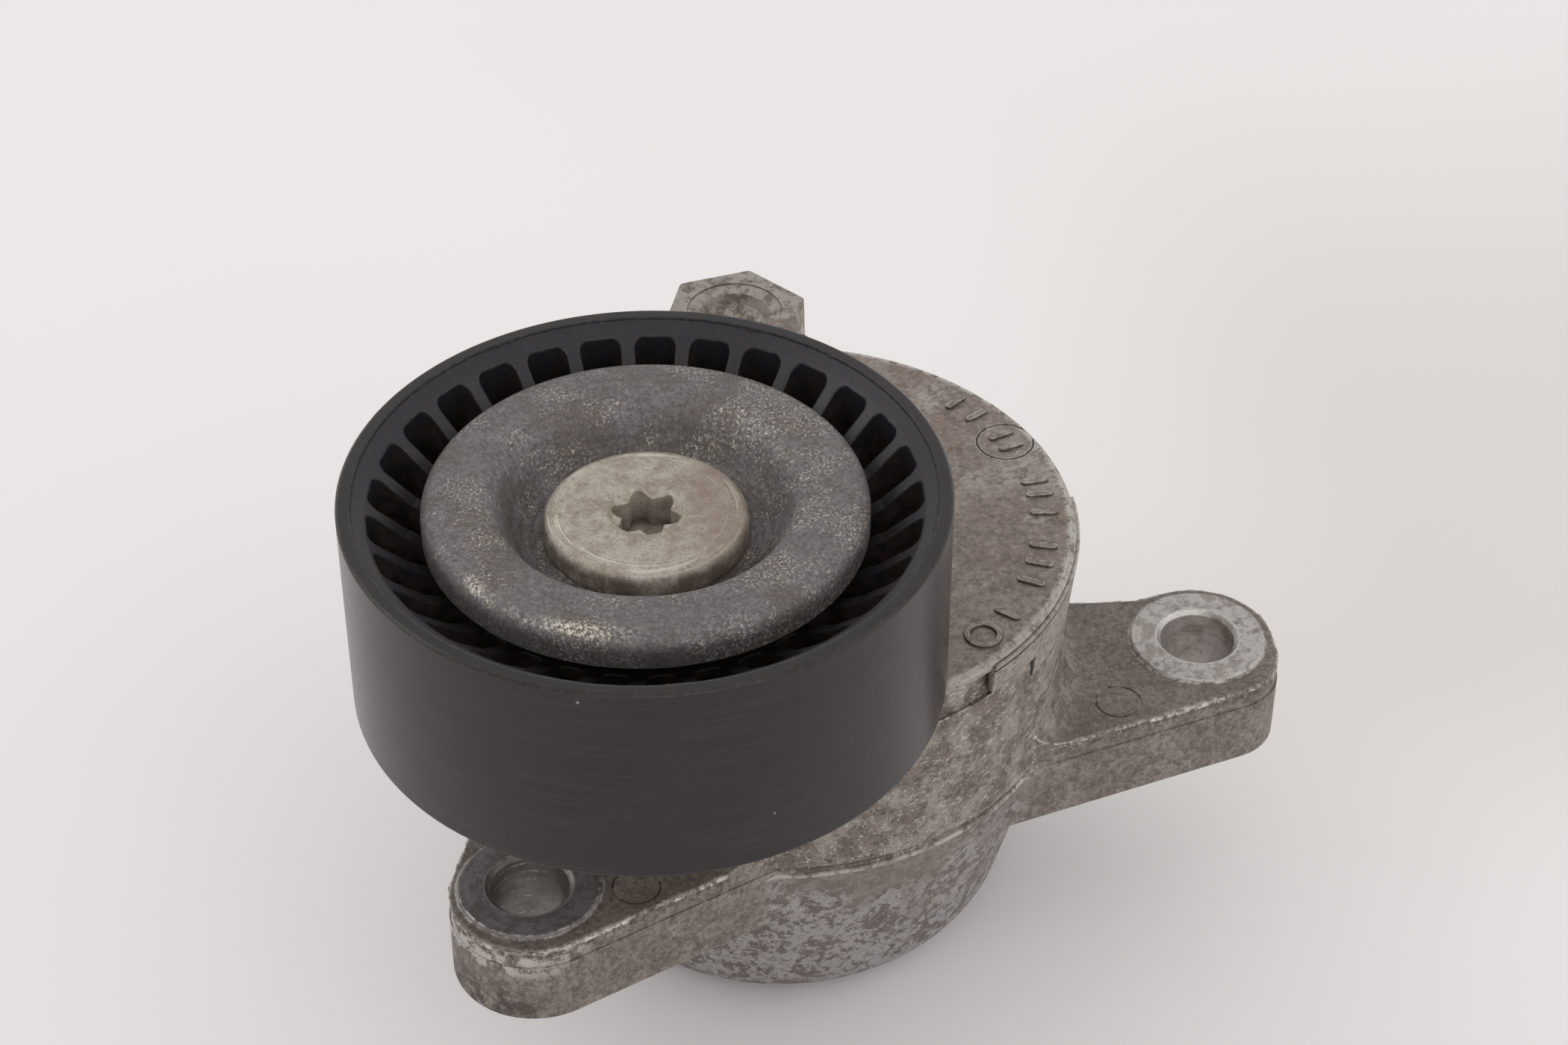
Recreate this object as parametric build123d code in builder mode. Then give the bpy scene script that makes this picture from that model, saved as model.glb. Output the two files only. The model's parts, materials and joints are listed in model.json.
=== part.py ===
from build123d import *
import math
import os

# Automatic belt tensioner with a smooth idler pulley. Millimetres, +Z towards the pulley.
# Origin: on the arm's pivot axis, in the plane of the undersides of the two mounting lugs.
# +X points from the pivot axis to the far mounting hole.

os.makedirs("parts", exist_ok=True)

# Heights
Z_CUP_BOTTOM = -26.0
Z_LUG_TOP = 12.8
Z_PARTING = 9.7
Z_LEDGE = 8.6
Z_GROOVE = 31.8
Z_WALL_TOP = 36.0
Z_RIM_UNDER = 36.8
Z_DISC = 38.3
Z_PULLEY = 41.3

# Base housing
CUP_R_BOTTOM = 30.5
CUP_R_TOP = 39.3
CUP_FILLET = 12.0
WALL_R = 39.9
GROOVE_R = 39.2
CHAMBER_R = 35.2
CHAMBER_R_BOTTOM = 26.8
Z_CHAMBER = -20.8
POST_R = 11.0
POST_R_ROOT = 17.2
Z_POST_TOP = 22.5
RECESS_R = 14.0
RECESS_DEPTH = 7.0
LUG_ROOT_R = 33.0
HOLE_R = 5.25
HOLE_CHAMFER_TOP = 0.6
HOLE_CHAMFER_BOTTOM = 0.4
RIGHT_HOLE = (59.7, 0.0)
LEFT_HOLE = (56.0 * math.cos(math.radians(230)), 56.0 * math.sin(math.radians(230)))
EYE_R = 11.0
FAR_CORNER_R = 8.0
LEFT_EYE = (LEFT_HOLE[0] + 0.5, LEFT_HOLE[1] - 0.6)
LEFT_EYE_R = 11.2
BOSS_RING_R = 9.75
BOSS_RING_H = 0.5
Z_BOSS = Z_LUG_TOP + BOSS_RING_H
PARTING_STEP = 0.15
LUG_TOP_FILLET = 0.35
LUG_BOTTOM_FILLET = 0.4
ROOT_FILLET = 4.0
UNDER_FILLET = 2.0
EJECTOR_R = 3.3
EJECTORS = [(46.4, -12.5), (-22.0, -43.8)]
EJECTOR_GROOVE = 0.3
SHALLOW = 0.2
LEDGE_GROOVE_R = 38.6

# Free-arm stop: a window in the wall, open over the arm's travel
WINDOW_START = -37.3
WINDOW_END = 47.5
Z_WINDOW = 28.7
WINDOW_GAP = 0.3

# Pivot
SHAFT_R = 6.0
BUSH_BORE_R = 6.03
BUSH_R = 7.5
THRUST_T = 1.5
HUB_R = 13.0
Z_HUB_END = Z_POST_TOP + THRUST_T + 0.1

# Arm
DISC_R = 40.5
PLATE_R = 34.9
Z_PLATE = 33.8
SWEEP_R = 41.2
Z_SWEEP = 30.6
NOSE_ROOT = (-8.0, -14.0, 20.0)
NOSE_END_R = 17.0
NOSE_RISE = 1.5
HEX_WEB_R = 9.4
HEX_WEB_ROOT = (0, 0, 30.0)
HEX_WEB_DROP = 0.4
SPIGOT_R = 8.49
SPIGOT_STEP_R = 11.0
PULLEY_BOSS_R = 13.0
Z_PULLEY_BOSS = 42.4
LID_BEVEL = 0.7
SKIRT_IN_R = 39.5
SKIRT_OUT_R = 41.0
SKIRT_LOW_R = 40.2
EDGE_SLOT_DEPTH = 0.4
EDGE_SLOT_H = 0.35
ARM_ANGLE = 240.0
ARM_LENGTH = 38.0
PX = ARM_LENGTH * math.cos(math.radians(ARM_ANGLE))
PY = ARM_LENGTH * math.sin(math.radians(ARM_ANGLE))
HEX_FLATS = 19.0
HEX_ANGLE = 95.1
HEX_CENTRE_R = 41.7
HX = HEX_CENTRE_R * math.cos(math.radians(HEX_ANGLE))
HY = HEX_CENTRE_R * math.sin(math.radians(HEX_ANGLE))
HEX_TURN = 14.5
Z_HEX = 43.8
DIMPLE_R = 6.4
DIMPLE_DEPTH = 4.2
DIMPLE_RING_R = 6.95
DIMPLE_RING_DROP = 0.15
INNER_SKIRT_IN = 29.5
INNER_SKIRT_OUT = 32.9

# Torsion spring
WIRE_R = 2.75
COIL_R = 23.4
COIL_PITCH = 8.3
COIL_TURNS = 5.35
Z_COIL = -17.9
COIL_START = 20.0
RIB_R = 28.5
RIB_GAP = 1.3
RIB_SPAN = 13.0
COIL_END = (COIL_START - 360 * COIL_TURNS) % 360

# Cast marks on the lid: plain ticks and rings
MARK_H = 0.35
TICK_R = 36.2
TICK_LENGTH = 3.8
TICK_WIDTH = 1.0
SMALL_RING_ANGLE = -46.7
LARGE_RING_ANGLE = 24.3
TICK_ANGLES = [-38.1, -26.2, -19.7, -13.8, -2.3, 4.1, 8.7, 22.0, 26.6, 35.5, 42.2]

# Skirt that rides in the base's groove and stop window
SKIRT_START = -50.7
SKIRT_STEP = -37.1
SKIRT_END = 4.2

# Shaft end in the recess
Z_SHAFT_END = -23.7
Z_CLIP = -22.2
CLIP_GROOVE_R = 5.4
CLIP_GROOVE_W = 1.3
SHAFT_HEAD_R = 10.0
SHAFT_HEAD_H = 2.5

# Pulley and bearing
PULLEY_R = 38.0
PULLEY_W = 29.3
RIM_IN_R = 36.2
POCKETS = 29
HUB_OUT_R = 23.6
WEB_T = 3.2
BEARING_BORE_R = 8.5
BEARING_R = 20.0
BEARING_W = 16.0
Z_BEARING = 46.1
BALL_R = 3.375
BALLS = 8
PITCH_R = 14.25
COVER_R = 27.77
COVER_T = 1.5
COVER_FLAT_R = 13.4
COVER_DISH_R = 21.5
COVER_ROLL_R = 2.4
COVER_RIM_H = 4.6
Z_COVER_TOP = 70.3
HEAD_R = 12.8
HEAD_ROUND = 1.5
HEAD_H = 3.6
BOLT_R = 5.0
BOLT_LENGTH = 22.5
TORX_TIP_R = 4.42
TORX_ROOT_R = 3.15
SOCKET_DEPTH = 5.0
SOCKET_TURN = 43.0
SOCKET_MOUTH = 0.3
RACE_R = 3.44
RACE_SHIFT = 0.05
INNER_SHOULDER_R = 12.3
OUTER_SHOULDER_R = 16.2
SEAL_R = 17.2
POCKET_IN_R = 25.0
POCKET_OUT_R = 34.3
DISH_BREAK_R = 34.6
POCKET_OUT_HALF = 2.85
POCKET_IN_HALF = 1.85
POCKET_TURN = -1.3

Z_PULLEY_TOP = Z_PULLEY + PULLEY_W
Z_PULLEY_MID = Z_PULLEY + PULLEY_W / 2
Z_BEARING_TOP = Z_BEARING + BEARING_W
Z_BALL = Z_BEARING + BEARING_W / 2
Z_SEAT = Z_BEARING_TOP + COVER_T
Z_HEAD_TOP = Z_SEAT + HEAD_H
Z_SKIRT_LOW = Z_WINDOW + WINDOW_GAP
Z_SKIRT_TOP = Z_DISC - 0.9
Z_TAB_LOW = Z_GROOVE + 0.9
PULLEY_AT = Location((PX, PY, 0))


def polar(r, degrees):
    return (r * math.cos(math.radians(degrees)), r * math.sin(math.radians(degrees)))


def lobe_radius(degrees):
    """Wall radius of the six-lobe socket at an angle from one lobe's tip."""
    wave = (1 + math.cos(math.radians(6 * degrees))) / 2
    return TORX_ROOT_R + (TORX_TIP_R - TORX_ROOT_R) * wave**0.8


def turned(points, at=None):
    """A solid of revolution about Z from its (radius, height) outline."""
    with BuildPart() as body:
        with BuildSketch(Plane.XZ):
            with BuildLine():
                Polyline(*points, close=True)
            make_face()
        revolve(axis=Axis.Z)
    solid = body.part
    return solid.moved(at) if at else solid


def ring(r_in, r_out, z_low, z_high):
    """The (radius, height) outline of a plain ring."""
    return [(r_in, z_low), (r_out, z_low), (r_out, z_high), (r_in, z_high)]


def sector(outline, start, end):
    """The slice of a turned outline between two angles in degrees, anticlockwise from +X."""
    body = turned(outline)
    low, high = body.bounding_box().min.Z, body.bounding_box().max.Z
    reach = 2.5 * max(radius for radius, height in outline)
    steps = 6
    rays = [polar(reach, start + (end - start) * k / steps) for k in range(steps + 1)]
    wedge = extrude(make_face(Polyline((0, 0), *rays, close=True)), high - low)
    return body & (Pos(0, 0, low) * wedge)


def skirt_outline(z_low):
    """The arm's skirt from a height up to the lid: plain inside, drafted outside."""
    share = (z_low - Z_SKIRT_LOW) / (Z_SKIRT_TOP - Z_SKIRT_LOW)
    low_r = SKIRT_LOW_R + share * (SKIRT_OUT_R - SKIRT_LOW_R)
    return [(SKIRT_IN_R, z_low), (low_r, z_low), (SKIRT_OUT_R, Z_SKIRT_TOP), (SKIRT_IN_R, Z_SKIRT_TOP)]


def hull_plate(circle_a, circle_b, z_low, z_high):
    """A plate around two circles, each (x, y, radius), and the tangents between them."""
    with BuildPart() as plate:
        with BuildSketch(Plane.XY.offset(z_low)):
            with Locations(circle_a[:2]):
                Circle(circle_a[2])
            with Locations(circle_b[:2]):
                Circle(circle_b[2])
            make_hull()
        extrude(amount=z_high - z_low)
    return plate.part


def right_lug_plan(z, inset):
    """The far lug: a straight front flank, a rounded front corner and a necked back."""
    with BuildSketch(Plane.XY.offset(z)) as plan:
        with Locations(RIGHT_HOLE):
            Circle(EYE_R - inset)
        with BuildLine():
            Polyline(
                (20, -26.8 + inset),
                (70.6 - inset, -9.6 + inset),
                (70.7 - inset, 0),
                (53.8, 9.2 - inset),
                (20, 9.2 - inset),
                close=True,
            )
        make_face()
        fillet(plan.vertices().sort_by_distance((53.7, 9.2, z))[0], radius=7)
        fillet(plan.vertices().sort_by_distance((70.6, -9.6, z))[0], radius=FAR_CORNER_R)
    return plan.sketch


def left_lug_plan(z, inset):
    """The near lug: an eye joined to the cup by two tangents."""
    with BuildSketch(Plane.XY.offset(z)) as plan:
        Circle(LUG_ROOT_R - inset)
        with Locations(LEFT_EYE):
            Circle(LEFT_EYE_R - inset)
        make_hull()
    return plan.sketch


def cast_lug(plan):
    """A lug with a small step at its parting line and rounded top and bottom rims."""
    lower = extrude(plan(0, 0), Z_PARTING)
    upper = extrude(plan(Z_PARTING, PARTING_STEP), Z_LUG_TOP - Z_PARTING)
    with BuildPart() as lug:
        add([lower, upper])
        fillet(lug.faces().sort_by(Axis.Z)[-1].edges(), radius=LUG_TOP_FILLET)
        fillet(lug.faces().sort_by(Axis.Z)[0].edges(), radius=LUG_BOTTOM_FILLET)
    return lug.part


def lug_root(plan):
    """The hollow fillet between a lug's top and the cup's wall, as wide as the lug."""
    flat_top = extrude(plan(Z_LUG_TOP - 1, PARTING_STEP), ROOT_FILLET + 2)
    with BuildPart() as root:
        with BuildSketch(Plane.XZ):
            with BuildLine():
                Polyline(
                    (WALL_R, Z_LUG_TOP + ROOT_FILLET),
                    (WALL_R - 2, Z_LUG_TOP + ROOT_FILLET),
                    (WALL_R - 2, Z_LUG_TOP - 1),
                    (WALL_R + ROOT_FILLET, Z_LUG_TOP - 1),
                    (WALL_R + ROOT_FILLET, Z_LUG_TOP),
                )
                RadiusArc((WALL_R, Z_LUG_TOP + ROOT_FILLET), (WALL_R + ROOT_FILLET, Z_LUG_TOP), -ROOT_FILLET)
            make_face()
        revolve(axis=Axis.Z)
        add(flat_top, mode=Mode.INTERSECT)
    return root.part


# Base housing: die-cast cup, upper wall with the stop window, two lugs and the hollow post
lugs = [cast_lug(right_lug_plan), cast_lug(left_lug_plan)]
lug_roots = [lug_root(right_lug_plan), lug_root(left_lug_plan)]
lug_hole = turned(
    [
        (0, -1),
        (HOLE_R + HOLE_CHAMFER_BOTTOM + 1, -1),
        (HOLE_R, HOLE_CHAMFER_BOTTOM),
        (HOLE_R, Z_BOSS - HOLE_CHAMFER_TOP),
        (HOLE_R + HOLE_CHAMFER_TOP + 1, Z_BOSS + 1),
        (0, Z_BOSS + 1),
    ]
)
spring_rib = sector(
    ring(POST_R_ROOT - 1, RIB_R, Z_CHAMBER - 0.5, Z_COIL + 2.9), COIL_START + RIB_GAP, COIL_START + RIB_SPAN
)
stop_window = sector(ring(GROOVE_R, WALL_R + 3, Z_WINDOW, Z_GROOVE), WINDOW_START, WINDOW_END)
with BuildPart() as base_housing:
    with BuildSketch(Plane.XZ) as outline:
        with BuildLine():
            Polyline(
                (0, Z_CUP_BOTTOM),
                (CUP_R_BOTTOM, Z_CUP_BOTTOM),
                (CUP_R_TOP, Z_LEDGE - 0.3),
                (CUP_R_TOP - 0.2, Z_LEDGE),
                (LEDGE_GROOVE_R, Z_LEDGE + 0.25),
                (LEDGE_GROOVE_R + 0.1, Z_LEDGE + 0.9),
                (WALL_R, Z_LEDGE + 2.2),
                (WALL_R, Z_GROOVE),
                (GROOVE_R, Z_GROOVE),
                (GROOVE_R, Z_WALL_TOP),
                (0, Z_WALL_TOP),
                close=True,
            )
        make_face()
        corner = outline.vertices().sort_by_distance((CUP_R_BOTTOM, Z_CUP_BOTTOM, 0))[0]
        fillet(corner, radius=CUP_FILLET)
    revolve(axis=Axis.Z)
    add(lugs)
    underside = base_housing.faces().filter_by(lambda f: abs(f.center().Z) < 0.001).edges()
    cup_corner = underside.filter_by(GeomType.CIRCLE).filter_by(lambda e: LUG_ROOT_R < e.radius < CUP_R_TOP)
    fillet(cup_corner, radius=UNDER_FILLET)
    add(lug_roots)
    with Locations((*RIGHT_HOLE, Z_LUG_TOP), (*LEFT_HOLE, Z_LUG_TOP)):
        Cone(BOSS_RING_R, BOSS_RING_R - 0.4, BOSS_RING_H, align=(Align.CENTER, Align.CENTER, Align.MIN))
    add(
        turned(
            [
                (POST_R_ROOT, Z_CHAMBER),
                (CHAMBER_R_BOTTOM, Z_CHAMBER),
                (CHAMBER_R, Z_LUG_TOP),
                (CHAMBER_R, Z_WALL_TOP + 1),
                (0, Z_WALL_TOP + 1),
                (0, Z_POST_TOP),
                (POST_R, Z_POST_TOP),
                (POST_R + 0.5, Z_CHAMBER + 8.5),
                (POST_R_ROOT, Z_CHAMBER + 4.5),
            ]
        ),
        mode=Mode.SUBTRACT,
    )
    add(stop_window, mode=Mode.SUBTRACT)
    with Locations(RIGHT_HOLE, LEFT_HOLE):
        add(lug_hole, mode=Mode.SUBTRACT)
    with BuildSketch(Plane.XY.offset(Z_LUG_TOP)):
        with Locations(*EJECTORS):
            Circle(EJECTOR_R)
            Circle(EJECTOR_R - EJECTOR_GROOVE, mode=Mode.SUBTRACT)
    extrude(amount=-SHALLOW, mode=Mode.SUBTRACT)
    with Locations((0, 0, Z_CUP_BOTTOM)):
        Cylinder(BUSH_R, 60, align=(Align.CENTER, Align.CENTER, Align.MIN), mode=Mode.SUBTRACT)
        Cylinder(RECESS_R, RECESS_DEPTH, align=(Align.CENTER, Align.CENTER, Align.MIN), mode=Mode.SUBTRACT)
    add(spring_rib)
base_housing.part.label = "base_housing"
export_step(base_housing.part, "parts/base_housing.step")

# Pivot bushing, pressed into the post
with BuildPart() as pivot_bush:
    add(turned(ring(BUSH_BORE_R, BUSH_R, Z_CUP_BOTTOM + RECESS_DEPTH, Z_POST_TOP - 0.2)))
pivot_bush.part.label = "pivot_bush"
export_step(pivot_bush.part, "parts/pivot_bush.step")

# Thrust washer on top of the post
with BuildPart() as thrust_washer:
    add(turned(ring(SHAFT_R + 0.15, POST_R, Z_POST_TOP, Z_POST_TOP + THRUST_T)))
thrust_washer.part.label = "thrust_washer"
export_step(thrust_washer.part, "parts/thrust_washer.step")

# Sheet cap pressed into the recess under the post
Z_CAP = Z_CUP_BOTTOM + 0.4
with BuildPart() as end_cap:
    add(
        turned(
            [
                (0, Z_CAP + 0.6),
                (9.0, Z_CAP + 0.6),
                (10.0, Z_CAP),
                (RECESS_R, Z_CAP),
                (RECESS_R, Z_CAP + 3.0),
                (RECESS_R - 0.9, Z_CAP + 3.0),
                (RECESS_R - 0.9, Z_CAP + 0.9),
                (10.3, Z_CAP + 0.9),
                (9.3, Z_CAP + 1.5),
                (0, Z_CAP + 1.5),
            ]
        )
    )
end_cap.part.label = "end_cap"
export_step(end_cap.part, "parts/end_cap.step")

# Torsion spring: round wire wound left-handed, both ends cut square
with BuildPart() as torsion_spring:
    with BuildLine(Plane.XY.offset(Z_COIL)) as coil:
        Helix(COIL_PITCH, COIL_PITCH * COIL_TURNS, COIL_R, lefthand=True)
    with BuildSketch(Plane(coil.line @ 0, z_dir=coil.line % 0)):
        Circle(WIRE_R)
    sweep(path=coil.line, is_frenet=True)
wound_spring = Rot(0, 0, COIL_START) * torsion_spring.part
wound_spring.label = "torsion_spring"
export_step(wound_spring, "parts/torsion_spring.step")

# Tensioner arm: lid, hub, spring stop, pulley boss with spigot, and the wrench hexagon
nose_circle = (PX, PY, NOSE_END_R)
hex_circle = (HX, HY, HEX_WEB_R)
nose_lower = hull_plate(nose_circle, NOSE_ROOT, Z_SWEEP, Z_RIM_UNDER)
nose_lower -= Cylinder(SWEEP_R, 200)
hex_web_lower = hull_plate(hex_circle, HEX_WEB_ROOT, Z_SWEEP, Z_RIM_UNDER)
hex_web_lower -= Cylinder(SWEEP_R, 200)
tab = sector(skirt_outline(Z_TAB_LOW), SKIRT_START, SKIRT_STEP)
stop_skirt = sector(skirt_outline(Z_SKIRT_LOW), SKIRT_STEP, SKIRT_END)
edge_slot = sector(
    ring(SKIRT_OUT_R - EDGE_SLOT_DEPTH, SKIRT_OUT_R + 1, Z_RIM_UNDER - EDGE_SLOT_H, Z_RIM_UNDER),
    SKIRT_START - 1,
    SKIRT_END + 1,
)
spring_stop = sector(
    ring(HUB_R - 0.5, INNER_SKIRT_IN + 0.5, Z_HUB_END, Z_PLATE), COIL_END - RIB_SPAN, COIL_END - RIB_GAP
)
with BuildPart() as arm:
    add(
        turned(
            [
                (0, Z_HUB_END),
                (HUB_R, Z_HUB_END),
                (HUB_R, Z_PLATE),
                (INNER_SKIRT_IN, Z_PLATE),
                (INNER_SKIRT_IN, Z_POST_TOP),
                (INNER_SKIRT_OUT, Z_POST_TOP),
                (INNER_SKIRT_OUT, Z_PLATE),
                (PLATE_R, Z_PLATE),
                (PLATE_R, Z_RIM_UNDER),
                (DISC_R, Z_RIM_UNDER),
                (DISC_R, Z_DISC - LID_BEVEL),
                (DISC_R - LID_BEVEL, Z_DISC),
                (0, Z_DISC),
            ]
        )
    )
    add(nose_lower)
    add(hull_plate(nose_circle, NOSE_ROOT, Z_RIM_UNDER, Z_DISC + NOSE_RISE))
    add(hex_web_lower)
    add(hull_plate(hex_circle, HEX_WEB_ROOT, Z_RIM_UNDER, Z_DISC - HEX_WEB_DROP))
    add([tab, stop_skirt])
    add(edge_slot, mode=Mode.SUBTRACT)
    add(spring_stop)
    with BuildSketch(Plane.XY.offset(Z_DISC - 1.0)) as hexagon:
        with Locations((HX, HY)):
            RegularPolygon(HEX_FLATS / 2, 6, major_radius=False, rotation=HEX_TURN)
        fillet(hexagon.vertices(), radius=1.0)
    extrude(amount=Z_HEX - Z_DISC + 1.0, taper=1.5)
    fillet(arm.faces().filter_by(Axis.Z).sort_by(Axis.Z)[-1].edges(), radius=0.5)
    add(
        turned(
            [
                (0, Z_RIM_UNDER),
                (PULLEY_BOSS_R, Z_RIM_UNDER),
                (PULLEY_BOSS_R, Z_PULLEY_BOSS),
                (SPIGOT_STEP_R, Z_PULLEY_BOSS),
                (SPIGOT_STEP_R, Z_BEARING - 1.0),
                (SPIGOT_R, Z_BEARING - 1.0),
                (SPIGOT_R, Z_BEARING + 12.0),
                (SPIGOT_R - 0.5, Z_BEARING + 12.5),
                (0, Z_BEARING + 12.5),
            ],
            PULLEY_AT,
        )
    )
    with Locations((PX, PY, Z_SEAT - BOLT_LENGTH - 1.0)):
        Cylinder(BOLT_R, 40, align=(Align.CENTER, Align.CENTER, Align.MIN), mode=Mode.SUBTRACT)
    Cylinder(SHAFT_R, 200, mode=Mode.SUBTRACT)
    with Locations((0, 0, Z_DISC - SHAFT_HEAD_H)):
        Cylinder(SHAFT_HEAD_R, 5, align=(Align.CENTER, Align.CENTER, Align.MIN), mode=Mode.SUBTRACT)
    add(
        turned(
            [
                (0, Z_HEX - DIMPLE_DEPTH),
                (DIMPLE_R - 3.8, Z_HEX - DIMPLE_DEPTH),
                (DIMPLE_R - 1.8, Z_HEX - 2.2),
                (DIMPLE_R - 1.1, Z_HEX - 0.6),
                (DIMPLE_R, Z_HEX - DIMPLE_RING_DROP),
                (DIMPLE_RING_R, Z_HEX - DIMPLE_RING_DROP),
                (DIMPLE_RING_R, Z_HEX + 1),
                (0, Z_HEX + 1),
            ],
            Location((HX, HY, 0)),
        ),
        mode=Mode.SUBTRACT,
    )
    with BuildSketch(Plane.XY.offset(Z_DISC)):
        for angle in TICK_ANGLES:
            with Locations(Location((*polar(TICK_R, angle), 0), (0, 0, angle))):
                SlotOverall(TICK_LENGTH, TICK_WIDTH)
        with Locations(polar(TICK_R, SMALL_RING_ANGLE)):
            Circle(2.5)
            Circle(1.8, mode=Mode.SUBTRACT)
    extrude(amount=MARK_H)
    with BuildSketch(Plane.XY.offset(Z_DISC)):
        with Locations(polar(TICK_R - 0.2, LARGE_RING_ANGLE)):
            Circle(4.1)
            Circle(3.85, mode=Mode.SUBTRACT)
    extrude(amount=-SHALLOW, mode=Mode.SUBTRACT)
arm.part.label = "arm"
export_step(arm.part, "parts/arm.step")

# Pivot shaft, pressed into the arm's hub, with a flush head and a retaining groove
with BuildPart() as pivot_shaft:
    add(
        turned(
            [
                (0, Z_SHAFT_END),
                (SHAFT_R - 0.6, Z_SHAFT_END),
                (SHAFT_R, Z_SHAFT_END + 0.6),
                (SHAFT_R, Z_CLIP),
                (CLIP_GROOVE_R, Z_CLIP),
                (CLIP_GROOVE_R, Z_CLIP + CLIP_GROOVE_W),
                (SHAFT_R, Z_CLIP + CLIP_GROOVE_W),
                (SHAFT_R, Z_DISC - SHAFT_HEAD_H),
                (SHAFT_HEAD_R, Z_DISC - SHAFT_HEAD_H),
                (SHAFT_HEAD_R, Z_DISC - 0.7),
                (SHAFT_HEAD_R - 0.5, Z_DISC - 0.2),
                (0, Z_DISC - 0.2),
            ]
        )
    )
pivot_shaft.part.label = "pivot_shaft"
export_step(pivot_shaft.part, "parts/pivot_shaft.step")

# Split friction ring that damps the arm, carried on the arm's inner skirt
with BuildPart() as friction_ring:
    with BuildSketch(Plane.XY.offset(Z_POST_TOP + 1.0)):
        Circle(CHAMBER_R - 0.05)
        Circle(INNER_SKIRT_OUT, mode=Mode.SUBTRACT)
        with Locations((0, 34.0)):
            Rectangle(4.0, 6.0, mode=Mode.SUBTRACT)
    extrude(amount=10.0)
friction_ring.part.label = "friction_ring"
export_step(friction_ring.part, "parts/friction_ring.step")

# Washer and snap ring that hold the shaft in the post
with BuildPart() as retaining_washer:
    with BuildSketch(Plane.XY.offset(Z_CLIP + CLIP_GROOVE_W)):
        Circle(12.5)
        Circle(SHAFT_R, mode=Mode.SUBTRACT)
    extrude(amount=1.8)
retaining_washer.part.label = "retaining_washer"
export_step(retaining_washer.part, "parts/retaining_washer.step")

with BuildPart() as snap_ring:
    with BuildSketch(Plane.XY.offset(Z_CLIP + 0.05)):
        Circle(8.2)
        Circle(CLIP_GROOVE_R + 0.02, mode=Mode.SUBTRACT)
        with Locations((7.0, 0)):
            Rectangle(6.0, 3.0, mode=Mode.SUBTRACT)
        with Locations(polar(8.0, 28), polar(8.0, -28)):
            Circle(1.6)
        with Locations(polar(8.2, 28), polar(8.2, -28)):
            Circle(0.75, mode=Mode.SUBTRACT)
    extrude(amount=1.2)
snap_ring.part.label = "snap_ring"
export_step(snap_ring.part, "parts/snap_ring.step")

# Rear dust shield between the arm and the bearing
with BuildPart() as rear_shield:
    add(
        turned(
            [
                (8.5, Z_BEARING - 1.0),
                (11.2, Z_BEARING - 1.0),
                (12.0, Z_BEARING - 1.7),
                (19.0, Z_BEARING - 1.7),
                (19.0, Z_BEARING - 0.9),
                (12.4, Z_BEARING - 0.9),
                (11.5, Z_BEARING),
                (8.5, Z_BEARING),
            ],
            PULLEY_AT,
        )
    )
rear_shield.part.label = "rear_shield"
export_step(rear_shield.part, "parts/rear_shield.step")

# Deep-groove ball bearing
with BuildPart() as bearing_inner:
    add(
        turned(
            [
                (BEARING_BORE_R, Z_BEARING),
                (INNER_SHOULDER_R, Z_BEARING),
                (INNER_SHOULDER_R, Z_BEARING_TOP),
                (BEARING_BORE_R, Z_BEARING_TOP),
            ],
            PULLEY_AT,
        )
    )
    with Locations((PX, PY, Z_BALL)):
        Torus(PITCH_R + RACE_SHIFT, RACE_R, mode=Mode.SUBTRACT)
bearing_inner.part.label = "bearing_inner"
export_step(bearing_inner.part, "parts/bearing_inner.step")

with BuildPart() as bearing_outer:
    add(
        turned(
            [
                (OUTER_SHOULDER_R, Z_BEARING + 1.5),
                (SEAL_R, Z_BEARING + 1.5),
                (SEAL_R, Z_BEARING),
                (BEARING_R, Z_BEARING),
                (BEARING_R, Z_BEARING_TOP),
                (SEAL_R, Z_BEARING_TOP),
                (SEAL_R, Z_BEARING_TOP - 1.5),
                (OUTER_SHOULDER_R, Z_BEARING_TOP - 1.5),
            ],
            PULLEY_AT,
        )
    )
    with Locations((PX, PY, Z_BALL)):
        Torus(PITCH_R - RACE_SHIFT, RACE_R, mode=Mode.SUBTRACT)
bearing_outer.part.label = "bearing_outer"
export_step(bearing_outer.part, "parts/bearing_outer.step")

with BuildPart() as bearing_balls:
    with Locations((PX, PY, Z_BALL)):
        with PolarLocations(PITCH_R, BALLS):
            Sphere(BALL_R)
bearing_balls.part.label = "bearing_balls"
export_step(bearing_balls.part, "parts/bearing_balls.step")

with BuildPart() as ball_cage:
    with BuildSketch(Plane.XY.offset(Z_BALL - 4.6)):
        with Locations((PX, PY)):
            Circle(PITCH_R + 1.25)
            Circle(PITCH_R - 1.25, mode=Mode.SUBTRACT)
    extrude(amount=7.2)
    with Locations((PX, PY, Z_BALL)):
        with PolarLocations(PITCH_R, BALLS):
            Sphere(BALL_R + 0.08, mode=Mode.SUBTRACT)
ball_cage.part.label = "ball_cage"
export_step(ball_cage.part, "parts/ball_cage.step")

for name, z_seal in (("bearing_seal_rear", Z_BEARING + 0.5), ("bearing_seal_front", Z_BEARING_TOP - 1.4)):
    with BuildPart() as seal:
        with BuildSketch(Plane.XY.offset(z_seal)):
            with Locations((PX, PY)):
                Circle(SEAL_R)
                Circle(INNER_SHOULDER_R + 0.2, mode=Mode.SUBTRACT)
        extrude(amount=0.9)
    seal.part.label = name
    export_step(seal.part, f"parts/{name}.step")

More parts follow.
